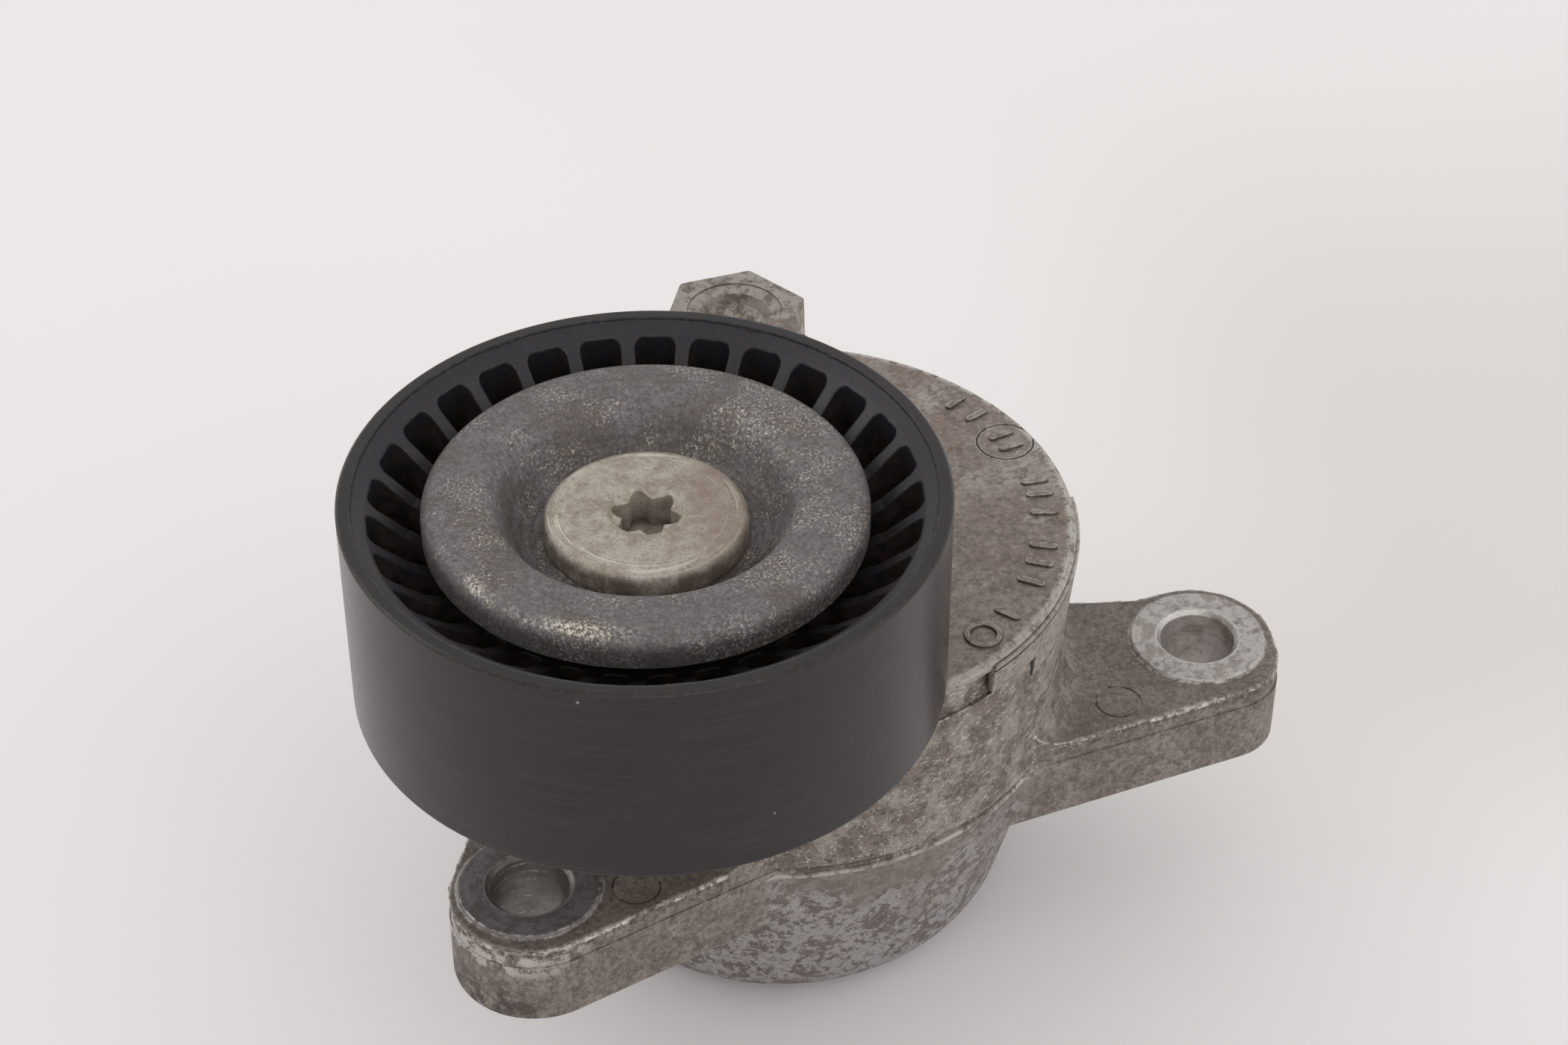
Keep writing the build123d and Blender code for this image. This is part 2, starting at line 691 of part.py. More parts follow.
# Pulley drum: smooth rim, dished faces with a ring of pockets, and a hub around the bearing
with BuildSketch() as pocket:
    with BuildLine():
        Polyline(
            (POCKET_IN_R, -POCKET_IN_HALF),
            (POCKET_OUT_R, -POCKET_OUT_HALF),
            (POCKET_OUT_R, POCKET_OUT_HALF),
            (POCKET_IN_R, POCKET_IN_HALF),
            close=True,
        )
    make_face()
    fillet(pocket.vertices(), radius=1.2)
with BuildPart() as pulley_drum:
    face_outline = [
        (25.2, Z_BEARING_TOP - Z_PULLEY_MID),
        (29.6, PULLEY_W / 2 - 6.0),
        (DISH_BREAK_R, PULLEY_W / 2 - 1.45),
        (RIM_IN_R, PULLEY_W / 2 - 0.45),
        (RIM_IN_R, PULLEY_W / 2),
        (PULLEY_R - 0.3, PULLEY_W / 2),
        (PULLEY_R, PULLEY_W / 2 - 0.3),
    ]
    hub_top = [(BEARING_R, Z_BEARING_TOP)]
    hub_bottom = [(HUB_OUT_R, Z_BEARING), (BEARING_R, Z_BEARING)]
    upper = [(r, Z_PULLEY_MID + h) for r, h in face_outline]
    lower = [(r, Z_PULLEY_MID - h) for r, h in reversed(face_outline)]
    add(turned(hub_top + upper + lower + hub_bottom, PULLEY_AT))
    for z_floor, depth in ((Z_PULLEY_MID + WEB_T / 2, PULLEY_W), (Z_PULLEY_MID - WEB_T / 2, -PULLEY_W)):
        with BuildSketch(Plane.XY.offset(z_floor)):
            with Locations((PX, PY)):
                with PolarLocations(0, POCKETS, start_angle=POCKET_TURN):
                    add(pocket.sketch)
        extrude(amount=depth, mode=Mode.SUBTRACT)
pulley_drum.part.label = "pulley_drum"
export_step(pulley_drum.part, "parts/pulley_drum.step")

# Front dust cover: pressed steel dish with a rolled rim
Z_COVER_RIM = Z_COVER_TOP - COVER_RIM_H
roll_centre = (COVER_R - COVER_ROLL_R, Z_COVER_TOP - COVER_ROLL_R)
with BuildPart() as dust_cover:
    with BuildSketch(Plane.XZ):
        with BuildLine():
            Line((BOLT_R + 0.2, Z_SEAT), (COVER_FLAT_R, Z_SEAT))
            Spline((COVER_FLAT_R, Z_SEAT), (COVER_DISH_R, Z_COVER_TOP), tangents=((1, 0), (1, 0)))
            Line((COVER_DISH_R, Z_COVER_TOP), (roll_centre[0], Z_COVER_TOP))
            RadiusArc((roll_centre[0], Z_COVER_TOP), (COVER_R, roll_centre[1]), COVER_ROLL_R)
            Line((COVER_R, roll_centre[1]), (COVER_R, Z_COVER_RIM))
            Line((COVER_R, Z_COVER_RIM), (COVER_R - COVER_T, Z_COVER_RIM))
            Line((COVER_R - COVER_T, Z_COVER_RIM), (COVER_R - COVER_T, roll_centre[1]))
            RadiusArc(
                (COVER_R - COVER_T, roll_centre[1]),
                (roll_centre[0], Z_COVER_TOP - COVER_T),
                COVER_T - COVER_ROLL_R,
            )
            Line((roll_centre[0], Z_COVER_TOP - COVER_T), (COVER_DISH_R + 0.5, Z_COVER_TOP - COVER_T))
            Spline(
                (COVER_DISH_R + 0.5, Z_COVER_TOP - COVER_T),
                (COVER_FLAT_R, Z_BEARING_TOP),
                tangents=((-1, 0), (-1, 0)),
            )
            Line((COVER_FLAT_R, Z_BEARING_TOP), (BOLT_R + 0.2, Z_BEARING_TOP))
            Line((BOLT_R + 0.2, Z_BEARING_TOP), (BOLT_R + 0.2, Z_SEAT))
        make_face()
    revolve(axis=Axis.Z)
dust_cover_at = dust_cover.part.moved(PULLEY_AT)
dust_cover_at.label = "dust_cover"
export_step(dust_cover_at, "parts/dust_cover.step")

# Pulley bolt: round flat head with a six-lobe socket
with BuildSketch() as socket:
    with BuildLine():
        Spline(*[polar(lobe_radius(a), a + SOCKET_TURN) for a in range(0, 360, 6)], periodic=True)
    make_face()
with BuildPart() as pulley_bolt:
    add(
        turned(
            [
                (0, Z_SEAT - BOLT_LENGTH),
                (BOLT_R - 0.8, Z_SEAT - BOLT_LENGTH),
                (BOLT_R - 0.02, Z_SEAT - BOLT_LENGTH + 0.8),
                (BOLT_R - 0.02, Z_SEAT),
                (HEAD_R, Z_SEAT),
                (HEAD_R, Z_HEAD_TOP),
                (0, Z_HEAD_TOP),
            ],
            PULLEY_AT,
        )
    )
    fillet(pulley_bolt.edges().filter_by(GeomType.CIRCLE).sort_by(Axis.Z)[-1], radius=HEAD_ROUND)
    with BuildSketch(Plane.XY.offset(Z_HEAD_TOP)):
        with Locations((PX, PY)):
            add(socket.sketch)
    extrude(amount=-SOCKET_DEPTH, mode=Mode.SUBTRACT)
    with Locations((PX, PY, Z_HEAD_TOP)):
        Cone(
            TORX_TIP_R - SOCKET_MOUTH,
            TORX_TIP_R + SOCKET_MOUTH,
            2 * SOCKET_MOUTH,
            align=(Align.CENTER, Align.CENTER, Align.MAX),
            mode=Mode.SUBTRACT,
        )
pulley_bolt.part.label = "pulley_bolt"
export_step(pulley_bolt.part, "parts/pulley_bolt.step")
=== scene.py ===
import json
import math

import bmesh
import bpy
from mathutils import Matrix, Vector, noise


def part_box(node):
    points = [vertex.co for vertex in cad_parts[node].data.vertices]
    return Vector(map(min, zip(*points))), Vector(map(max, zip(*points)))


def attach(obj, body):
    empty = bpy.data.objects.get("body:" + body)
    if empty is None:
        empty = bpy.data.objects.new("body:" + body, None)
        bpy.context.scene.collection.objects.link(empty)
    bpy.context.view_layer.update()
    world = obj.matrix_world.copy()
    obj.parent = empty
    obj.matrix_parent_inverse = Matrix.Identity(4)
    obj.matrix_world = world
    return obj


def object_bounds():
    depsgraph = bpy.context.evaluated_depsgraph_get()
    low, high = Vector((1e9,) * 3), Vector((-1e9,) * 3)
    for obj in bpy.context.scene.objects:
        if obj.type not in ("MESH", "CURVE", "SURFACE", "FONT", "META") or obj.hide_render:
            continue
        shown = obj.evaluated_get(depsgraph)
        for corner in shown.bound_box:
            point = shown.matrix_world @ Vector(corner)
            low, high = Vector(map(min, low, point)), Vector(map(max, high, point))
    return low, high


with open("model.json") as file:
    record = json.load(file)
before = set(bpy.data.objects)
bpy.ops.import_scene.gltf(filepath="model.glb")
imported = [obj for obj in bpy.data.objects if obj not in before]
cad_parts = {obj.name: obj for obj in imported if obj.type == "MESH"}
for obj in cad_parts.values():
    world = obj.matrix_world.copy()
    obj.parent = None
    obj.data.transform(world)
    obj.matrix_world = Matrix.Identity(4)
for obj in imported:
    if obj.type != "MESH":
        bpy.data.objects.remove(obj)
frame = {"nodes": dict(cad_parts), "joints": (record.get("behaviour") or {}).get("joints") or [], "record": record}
CAD_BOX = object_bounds()
MM = 0.001


def named(rows, name):
    return next(row for row in rows if row["name"] == name)


def plan_mm(place_m):
    """The XY of a place in metres, in millimetres."""
    return place_m[0] / MM, place_m[1] / MM


# Lengths read from the frame, in millimetres
PULLEY = plan_mm(named(frame["joints"], "pulley_spin")["pos_m"])
FAR_HOLE = plan_mm(named(frame["record"]["mounts"], "far_hole")["pos_m"])
NEAR_HOLE = plan_mm(named(frame["record"]["mounts"], "near_hole")["pos_m"])
HOLE_R = named(frame["record"]["mounts"], "far_hole")["dims"]["r_mm"]
DRUM_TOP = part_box("pulley_drum")[1].z / MM
DRUM_R = (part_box("pulley_drum")[1].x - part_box("pulley_drum")[0].x) / 2 / MM
LID_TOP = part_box("pivot_shaft")[1].z / MM + 0.2

# Lengths of the CAD parts that the frame doesn't name, in millimetres
PIVOT = (0.0, 0.0)
LUG_TOP = 12.8
LUG_EDGE = 12.5
PARTING_Z = 9.7
RING_R = 9.75
EJECTORS = ((46.4, -12.5), (-22.0, -43.8))
EJECTOR_R = 3.3
WALL_R = 39.9
LEDGE_R = 39.2
LEDGE_Z = 8.6
LID_R = 40.5
RIM_STEP_R = 36.2
HEAD_R = 12.8

# The bolt thread that has rubbed the near hole, in millimetres
THREAD_PITCH = 1.5
THREAD_PER_RADIAN = 0.24


# --- materials ---------------------------------------------------------------


class Paint:
    """One material's node tree. Places are the piece's own, in millimetres."""

    def __init__(self, name, **sockets):
        self.material = bpy.data.materials.new(name)
        self.material.use_nodes = True
        self.nodes = self.material.node_tree.nodes
        self.links = self.material.node_tree.links
        self.shader = self.nodes["Principled BSDF"]
        for socket, value in sockets.items():
            self.shader.inputs[socket.replace("_", " ")].default_value = value
        coordinates = self.node("ShaderNodeTexCoord").outputs["Object"]
        self.place = self.vector("MULTIPLY", coordinates, (1 / MM, 1 / MM, 1 / MM))
        self.x, self.y, self.z = self.split(self.place)

    def node(self, kind, **settings):
        made = self.nodes.new(kind)
        for key, value in settings.items():
            setattr(made, key, value)
        return made

    def feed(self, socket, value):
        if isinstance(value, bpy.types.NodeSocket):
            self.links.new(value, socket)
        else:
            socket.default_value = value

    def vector(self, operation, a, b):
        made = self.node("ShaderNodeVectorMath", operation=operation)
        self.feed(made.inputs[0], a)
        self.feed(made.inputs[1], b)
        return made.outputs["Value" if operation == "DOT_PRODUCT" else "Vector"]

    def split(self, vector):
        made = self.node("ShaderNodeSeparateXYZ")
        self.feed(made.inputs[0], vector)
        return made.outputs

    def join(self, x, y, z):
        made = self.node("ShaderNodeCombineXYZ")
        for socket, value in zip(made.inputs, (x, y, z)):
            self.feed(socket, value)
        return made.outputs[0]

    def maths(self, operation, a, b=0.0):
        made = self.node("ShaderNodeMath", operation=operation)
        self.feed(made.inputs[0], a)
        self.feed(made.inputs[1], b)
        return made.outputs[0]

    def times(self, *values):
        product = values[0]
        for value in values[1:]:
            product = self.maths("MULTIPLY", product, value)
        return product

    def plus(self, *values):
        total = values[0]
        for value in values[1:]:
            total = self.maths("ADD", total, value)
        return total

    def away(self, value, centre):
        """How far a value is from centre, either way."""
        return self.maths("ABSOLUTE", self.plus(value, -centre))

    def less(self, mask, share):
        """1, and lower by share where the mask is 1."""
        return self.maths("SUBTRACT", 1.0, self.times(mask, share))

    def rise(self, value, low, high):
        """0 below low, 1 above high, smooth between; falls where high is under low."""
        made = self.node("ShaderNodeMapRange", interpolation_type="SMOOTHSTEP")
        falling = high < low
        self.feed(made.inputs["Value"], value)
        self.feed(made.inputs["From Min"], high if falling else low)
        self.feed(made.inputs["From Max"], low if falling else high)
        self.feed(made.inputs["To Min"], 1.0 if falling else 0.0)
        self.feed(made.inputs["To Max"], 0.0 if falling else 1.0)
        return made.outputs[0]

    def noise(self, per_mm, detail=3.0, rough=0.55, at=None, shift=0.0):
        made = self.node("ShaderNodeTexNoise")
        spot = self.place if at is None else at
        if shift:
            spot = self.vector("ADD", spot, (shift, shift * 0.7, -shift))
        self.feed(made.inputs["Vector"], spot)
        self.feed(made.inputs["Scale"], per_mm)
        self.feed(made.inputs["Detail"], detail)
        self.feed(made.inputs["Roughness"], rough)
        return made.outputs["Fac"]

    def cells(self, per_mm):
        """Distance from the nearest of some scattered points."""
        made = self.node("ShaderNodeTexVoronoi")
        self.feed(made.inputs["Vector"], self.place)
        self.feed(made.inputs["Scale"], per_mm)
        return made.outputs["Distance"]

    def streaks(self, degrees, along, across, detail=4.0, shift=0.0):
        """Noise drawn out along one direction of the XY plane."""
        turn = self.node("ShaderNodeVectorRotate", rotation_type="Z_AXIS")
        self.feed(turn.inputs["Vector"], self.place)
        self.feed(turn.inputs["Angle"], math.radians(degrees))
        stretched = self.vector("MULTIPLY", turn.outputs[0], (along, across, across))
        return self.noise(1.0, detail, 0.65, at=stretched, shift=shift)

    def blend(self, factor, a, b):
        made = self.node("ShaderNodeMix", data_type="RGBA")
        made.clamp_factor = True
        self.feed(made.inputs[0], factor)
        self.feed(made.inputs[6], colour(a))
        self.feed(made.inputs[7], colour(b))
        return made.outputs[2]

    def over(self, paint, tint, *masks):
        """A tint laid over the paint where all the masks are 1; a number among them thins it."""
        return self.blend(self.times(*masks), paint, tint)

    def from_axis(self, centre):
        """X and Y measured from a vertical axis."""
        dx = self.maths("SUBTRACT", self.x, centre[0])
        dy = self.maths("SUBTRACT", self.y, centre[1])
        return dx, dy

    def radius(self, centre):
        dx, dy = self.from_axis(centre)
        return self.maths("SQRT", self.plus(self.times(dx, dx), self.times(dy, dy)))

    def angle(self, centre):
        dx, dy = self.from_axis(centre)
        return self.maths("ARCTAN2", dy, dx)

    def crevice(self, distance_mm):
        """1 in tight inner corners, 0 in the open, from ambient occlusion: a dark tint laid on it is painted
        shade.
        """
        made = self.node("ShaderNodeAmbientOcclusion", samples=8)
        made.inputs["Distance"].default_value = distance_mm * MM
        return self.maths("SUBTRACT", 1.0, made.outputs["AO"])

    def rounded(self, radius_mm, samples):
        """The normal with sharp edges rounded off."""
        made = self.node("ShaderNodeBevel", samples=samples)
        made.inputs["Radius"].default_value = radius_mm * MM
        return made.outputs[0]

    def edge(self, radius_mm):
        """1 on sharp edges, 0 on smooth faces."""
        flat = self.node("ShaderNodeNewGeometry").outputs["Normal"]
        same = self.vector("DOT_PRODUCT", self.rounded(radius_mm, 4), flat)
        return self.rise(same, 0.995, 0.90)

    def up(self):
        """How far the surface faces up, from -1 to 1."""
        return self.split(self.node("ShaderNodeTexCoord").outputs["Normal"])[2]

    def bump(self, *layers, soften=0.0):
        """Relief from (height 0 to 1, depth in mm) pairs, over edges rounded by soften."""
        normal = self.rounded(soften, 6) if soften else None
        for height, depth_mm in layers:
            made = self.node("ShaderNodeBump")
            made.inputs["Strength"].default_value = 1.0
            made.inputs["Distance"].default_value = depth_mm * MM
            self.feed(made.inputs["Height"], height)
            if normal is not None:
                self.feed(made.inputs["Normal"], normal)
            normal = made.outputs[0]
        self.feed(self.shader.inputs["Normal"], normal)

    def finish(self, base, roughness, metallic=None):
        self.feed(self.shader.inputs["Base Color"], colour(base))
        self.feed(self.shader.inputs["Roughness"], roughness)
        if metallic is not None:
            self.feed(self.shader.inputs["Metallic"], metallic)
        return self.material


def colour(value):
    """A socket as it is, or an (r, g, b) of 0 to 255 screen values as a linear colour."""
    if isinstance(value, bpy.types.NodeSocket):
        return value
    linear = [c / 255 / 12.92 if c <= 10 else ((c / 255 + 0.055) / 1.055) ** 2.4 for c in value]
    return (*linear, 1.0)


def cast_skin(p, shift=0.0):
    """The layers that every die-cast surface here shares: blotches, specks and grain."""
    return {
        "broad": p.noise(0.07, 3, 0.6, shift=shift + 1),
        "zone": p.noise(0.16, 5, 0.6, shift=shift + 2),
        "patch": p.noise(0.52, 11, 0.72, shift=shift + 3),
        "speck": p.noise(1.15, 9, 0.74, shift=shift + 5),
        "fine": p.noise(3.2, 5, 0.7, shift=shift + 7),
        "grain": p.noise(8.0, 3, 0.6, shift=shift + 9),
    }


def cup_paint(p, skin, tide):
    """Pale metal under dark oxide islands, browner towards the ledge."""
    pale, oxide, speck, brown = (156, 152, 151), (108, 99, 95), (88, 79, 75), (120, 109, 101)
    height = p.plus(skin["broad"], p.times(p.z, 0.008))
    paint = p.blend(p.rise(tide, 0.495, 0.53), pale, oxide)
    paint = p.over(paint, speck, p.rise(skin["speck"], 0.535, 0.57), 0.6)
    return p.over(paint, brown, p.rise(height, 0.46, 0.60), 0.7)


def wall_paint(p, skin, tide):
    """Brown-grey wall with stains, dark specks and diagonal bare scrapes."""
    pale, brown, stain = (150, 141, 133), (117, 105, 95), (96, 85, 76)
    speck, bare = (70, 60, 53), (196, 192, 188)
    specks = p.times(p.rise(skin["speck"], 0.56, 0.585), p.rise(skin["zone"], 0.42, 0.52))
    scrape = p.streaks(-62, 0.30, 2.2, 6, 3)
    paint = p.blend(p.rise(skin["zone"], 0.43, 0.56), pale, brown)
    paint = p.over(paint, stain, p.rise(tide, 0.525, 0.55), 0.7)
    paint = p.over(paint, speck, specks, 0.85)
    return p.over(paint, bare, p.rise(scrape, 0.54, 0.60), p.rise(skin["patch"], 0.56, 0.48), 0.8)


def lug_paint(p, skin, near_r):
    """Speckled lugs with painted shade on their up-facing tops; the near one is sooty below and rubbed bare under
    its edge.
    """
    pale, brown, stain, dark = (134, 124, 117), (115, 105, 97), (97, 88, 81), (82, 73, 67)
    light, top, black, bare = (158, 150, 144), (86, 77, 70), (54, 46, 43), (186, 182, 178)
    paint = p.blend(p.rise(skin["zone"], 0.42, 0.60), pale, brown)
    paint = p.over(paint, stain, p.rise(skin["patch"], 0.505, 0.55), 0.55)
    paint = p.over(paint, dark, p.rise(skin["speck"], 0.53, 0.565), 0.65)
    paint = p.over(paint, light, p.rise(skin["speck"], 0.455, 0.42), 0.45)
    # Painted shade: faces that point up are darkened towards the colour named top
    paint = p.over(paint, top, p.rise(p.up(), 0.6, 0.9), 0.30)
    soot = p.times(p.rise(near_r, 8.5, 10.5), p.rise(p.z, 9.5, 1.0), p.rise(p.x, -31.0, -40.0))
    paint = p.over(paint, black, soot, p.rise(skin["patch"], 0.38, 0.54), 0.85)
    band = p.times(p.rise(near_r, 12.2, 11.6), p.rise(p.z, 7.4, 8.8), p.rise(p.z, 12.6, 12.0))
    return p.over(paint, bare, band, p.rise(skin["patch"], 0.53, 0.47), 0.8)


def ring_paint(p, skin, near, near_r, eye_r):
    """The machined ring round each hole: pale at the far one, dark at the near one."""
    far_metal, near_metal = (176, 172, 169), (112, 108, 108)
    far_blot, near_blot = (130, 121, 114), (86, 77, 72)
    turned, dark = (184, 180, 177), (88, 79, 74)
    turning = p.noise(1.0, 3, 0.5, at=p.join(p.times(eye_r, 2.2), 0.0, p.z))
    more_inside = p.times(near, p.rise(near_r, 8.5, 6.0), 0.06)
    blots = p.rise(p.plus(skin["patch"], more_inside), 0.48, 0.56)
    ring = p.blend(near, far_metal, near_metal)
    ring = p.over(ring, p.blend(near, far_blot, near_blot), blots, 0.7)
    ring = p.over(ring, turned, p.rise(turning, 0.52, 0.66), 0.12)
    return p.over(ring, dark, p.rise(skin["speck"], 0.55, 0.60), 0.5)


def thread_rub(p, skin):
    """Where a bolt's thread has rubbed one side of the near hole."""
    helix = p.plus(p.z, p.times(p.angle(NEAR_HOLE), THREAD_PER_RADIAN))
    thread = p.maths("SINE", p.times(helix, 2 * math.pi / THREAD_PITCH))
    worn_side = p.rise(p.maths("COSINE", p.plus(p.angle(NEAR_HOLE), -1.9)), 0.55, 0.92)
    return p.times(worn_side, p.rise(thread, 0.80, 0.97), p.rise(skin["speck"], 0.46, 0.55), 0.7)


def bore_paint(p, skin, near, rubbed):
    """Bright metal inside the holes, darker in the near one apart from the thread's marks."""
    bright, dull, speck = (196, 190, 186), (150, 142, 136), (104, 96, 90)
    near_dull, fresh = (84, 77, 74), (212, 209, 205)
    paint = p.blend(p.rise(skin["zone"], 0.42, 0.62), bright, dull)
    paint = p.over(paint, speck, p.rise(skin["speck"], 0.54, 0.60), 0.35)
    paint = p.over(paint, near_dull, near, 0.65)
    return p.over(paint, fresh, rubbed)


def worn_edges(p, skin, paint, near, eye_r):
    """Chips and dirt on sharp edges, but not at the parting step, the ejectors or the near lip."""
    bare, dark_tint = (222, 219, 214), (70, 61, 55)
    chipped = p.rise(p.noise(0.9, 6, 0.75, shift=7), 0.46, 0.55)
    off_step = p.rise(p.away(p.z, PARTING_Z), 0.3, 0.6)
    off_marks = p.maths(
        "MINIMUM",
        *(p.rise(p.radius(spot), EJECTOR_R + 0.1, EJECTOR_R + 0.7) for spot in EJECTORS),
    )
    near_lip = p.times(near, p.rise(eye_r, HOLE_R + 2.2, HOLE_R + 1.4))
    edge = p.times(p.edge(0.5), off_step, off_marks, p.less(near_lip, 0.8))
    paint = p.over(paint, bare, edge, chipped, 0.9)
    return p.over(paint, dark_tint, edge, p.rise(skin["patch"], 0.50, 0.42), 0.4)


def lug_side_marks(p, skin, paint, pivot_r, eye_r):
    """Along the lugs' sides: a dark band just under the top edge, bare metal on it, and the parting line."""
    dark_tint, bare, dark = (76, 65, 57), (216, 212, 207), (72, 62, 55)
    on_lug = p.rise(pivot_r, WALL_R + 2.6, WALL_R + 5.1)
    off_hole = p.rise(eye_r, HOLE_R + 1.0, HOLE_R + 2.0)
    # A darker band just under the lugs' top edge
    under_edge = p.times(p.rise(p.away(p.z, LUG_EDGE - 0.8), 0.6, 0.2), on_lug, off_hole)
    paint = p.over(paint, dark_tint, under_edge, p.rise(skin["speck"], 0.42, 0.54), 0.7)
    on_edge = p.times(p.rise(p.away(p.z, LUG_EDGE - 0.2), 0.42, 0.2), on_lug, off_hole)
    rub = p.times(on_edge, p.rise(skin["speck"], 0.55, 0.48))
    paint = p.over(paint, bare, rub, p.rise(skin["zone"], 0.56, 0.46), 0.85)
    line = p.rise(p.away(p.z, PARTING_Z), 0.22, 0.08)
    line = p.times(line, p.rise(pivot_r, WALL_R + 0.6, WALL_R + 2.1))
    return p.over(paint, dark, line, p.rise(skin["patch"], 0.44, 0.54), 0.35)


def cast_base():
    """Die-cast housing: mottled oxide on the cup, speckled brown-grey lugs, machined eyes."""
    fine_dark, fine_light = (74, 67, 63), (190, 185, 181)
    glinting, lip_metal_and_highlight = (200, 196, 192), (186, 182, 178)
    ledge_brown, ledge_highlight, crevice_dirt_and_shade = (100, 87, 73), (190, 184, 178), (56, 46, 39)
    p = Paint("cast_base_aluminium")
    skin = cast_skin(p)
    pivot_r = p.radius(PIVOT)
    near_r = p.radius(NEAR_HOLE)
    eye_r = p.maths("MINIMUM", p.radius(FAR_HOLE), near_r)
    near = p.rise(near_r, 12.0, 11.0)
    oxide = p.plus(p.times(skin["patch"], 0.72), p.times(skin["speck"], 0.28))
    tide = p.plus(oxide, p.times(p.maths("SUBTRACT", skin["zone"], 0.5), 0.25))

    below_ledge = p.rise(p.z, LEDGE_Z + 0.3, LEDGE_Z - 0.2)
    out_on_lug = p.rise(pivot_r, WALL_R - 1.3, WALL_R + 2.6)
    paint = p.blend(below_ledge, wall_paint(p, skin, tide), cup_paint(p, skin, tide))
    paint = p.over(paint, lug_paint(p, skin, near_r), out_on_lug)
    paint = p.over(paint, fine_dark, p.rise(skin["fine"], 0.50, 0.62), 0.28)
    paint = p.over(paint, fine_light, p.rise(skin["fine"], 0.45, 0.34), 0.25)

    on_ring = p.times(
        p.rise(eye_r, RING_R + 0.2, RING_R - 0.15),
        p.rise(p.z, LUG_TOP + 0.1, LUG_TOP + 0.3),
    )
    paint = p.over(paint, ring_paint(p, skin, near, near_r, eye_r), on_ring)
    glint = p.times(
        p.rise(p.away(eye_r, RING_R - 0.15), 0.35, 0.1),
        p.rise(p.z, LUG_TOP - 0.05, LUG_TOP + 0.1),
        p.less(near, 0.6),
    )
    paint = p.over(paint, glinting, glint, p.rise(skin["zone"], 0.56, 0.46), 0.55)

    bore = p.rise(eye_r, HOLE_R + 0.9, HOLE_R + 0.5)
    rubbed = p.times(near, bore, thread_rub(p, skin))
    paint = p.over(paint, bore_paint(p, skin, near, rubbed), bore)
    # Bare machined chamfer lip at the far hole, drawn brighter still as a painted highlight
    lip = p.times(
        p.rise(eye_r, HOLE_R + 1.0, HOLE_R + 0.75),
        p.rise(eye_r, HOLE_R + 0.2, HOLE_R + 0.4),
        p.less(near, 0.85),
        p.rise(p.z, LUG_TOP - 0.1, LUG_TOP + 0.1),
    )
    paint = p.over(paint, lip_metal_and_highlight, lip, 0.6)

    paint = worn_edges(p, skin, paint, near, eye_r)
    seam = p.times(
        p.rise(p.z, LEDGE_Z, LEDGE_Z + 0.4),
        p.rise(p.z, LEDGE_Z + 2.8, LEDGE_Z + 1.4),
        p.rise(pivot_r, WALL_R + 0.4, WALL_R),
    )
    paint = p.over(paint, ledge_brown, seam, p.rise(skin["patch"], 0.40, 0.50), 0.75)
    paint = lug_side_marks(p, skin, paint, pivot_r, eye_r)
    # Painted highlight: a bright line along the ledge's top edge, as if it caught the light
    painted_highlight = p.times(
        p.rise(p.away(p.z, LEDGE_Z - 0.15), 0.35, 0.15),
        p.rise(pivot_r, LEDGE_R - 0.5, LEDGE_R - 0.2),
        p.rise(pivot_r, LEDGE_R + 1.0, LEDGE_R + 0.6),
    )
    paint = p.over(paint, ledge_highlight, painted_highlight, p.rise(skin["zone"], 0.54, 0.46), 0.6)
    # Dirt and painted shade: tight corners darkened by ambient occlusion, less so in the ledge's step
    in_step = p.times(
        p.rise(p.z, LEDGE_Z - 1.0, LEDGE_Z - 0.2),
        p.rise(p.z, LEDGE_Z + 3.4, LEDGE_Z + 2.0),
        p.rise(pivot_r, WALL_R + 1.7, WALL_R + 1.1),
    )
    dirt_and_shade = p.times(p.rise(p.crevice(2.2), 0.25, 0.75), p.less(in_step, 0.7))
    paint = p.over(paint, crevice_dirt_and_shade, dirt_and_shade, p.rise(skin["patch"], 0.35, 0.55), 0.75)

    metal = p.plus(0.28, p.times(bore, 0.35), p.times(on_ring, 0.2))
    fine_matt = p.times(skin["fine"], 0.25)
    roughness = p.plus(0.46, fine_matt, p.times(bore, -0.26), p.times(on_ring, -0.12))
    waves = p.noise(0.22, 3, 0.5, shift=3)
    fine, grain = skin["fine"], skin["grain"]
    p.bump((waves, 0.16), (oxide, 0.09), (fine, 0.03), (grain, 0.02), (rubbed, 0.05), soften=0.30)
    return p.finish(paint, roughness, metal)


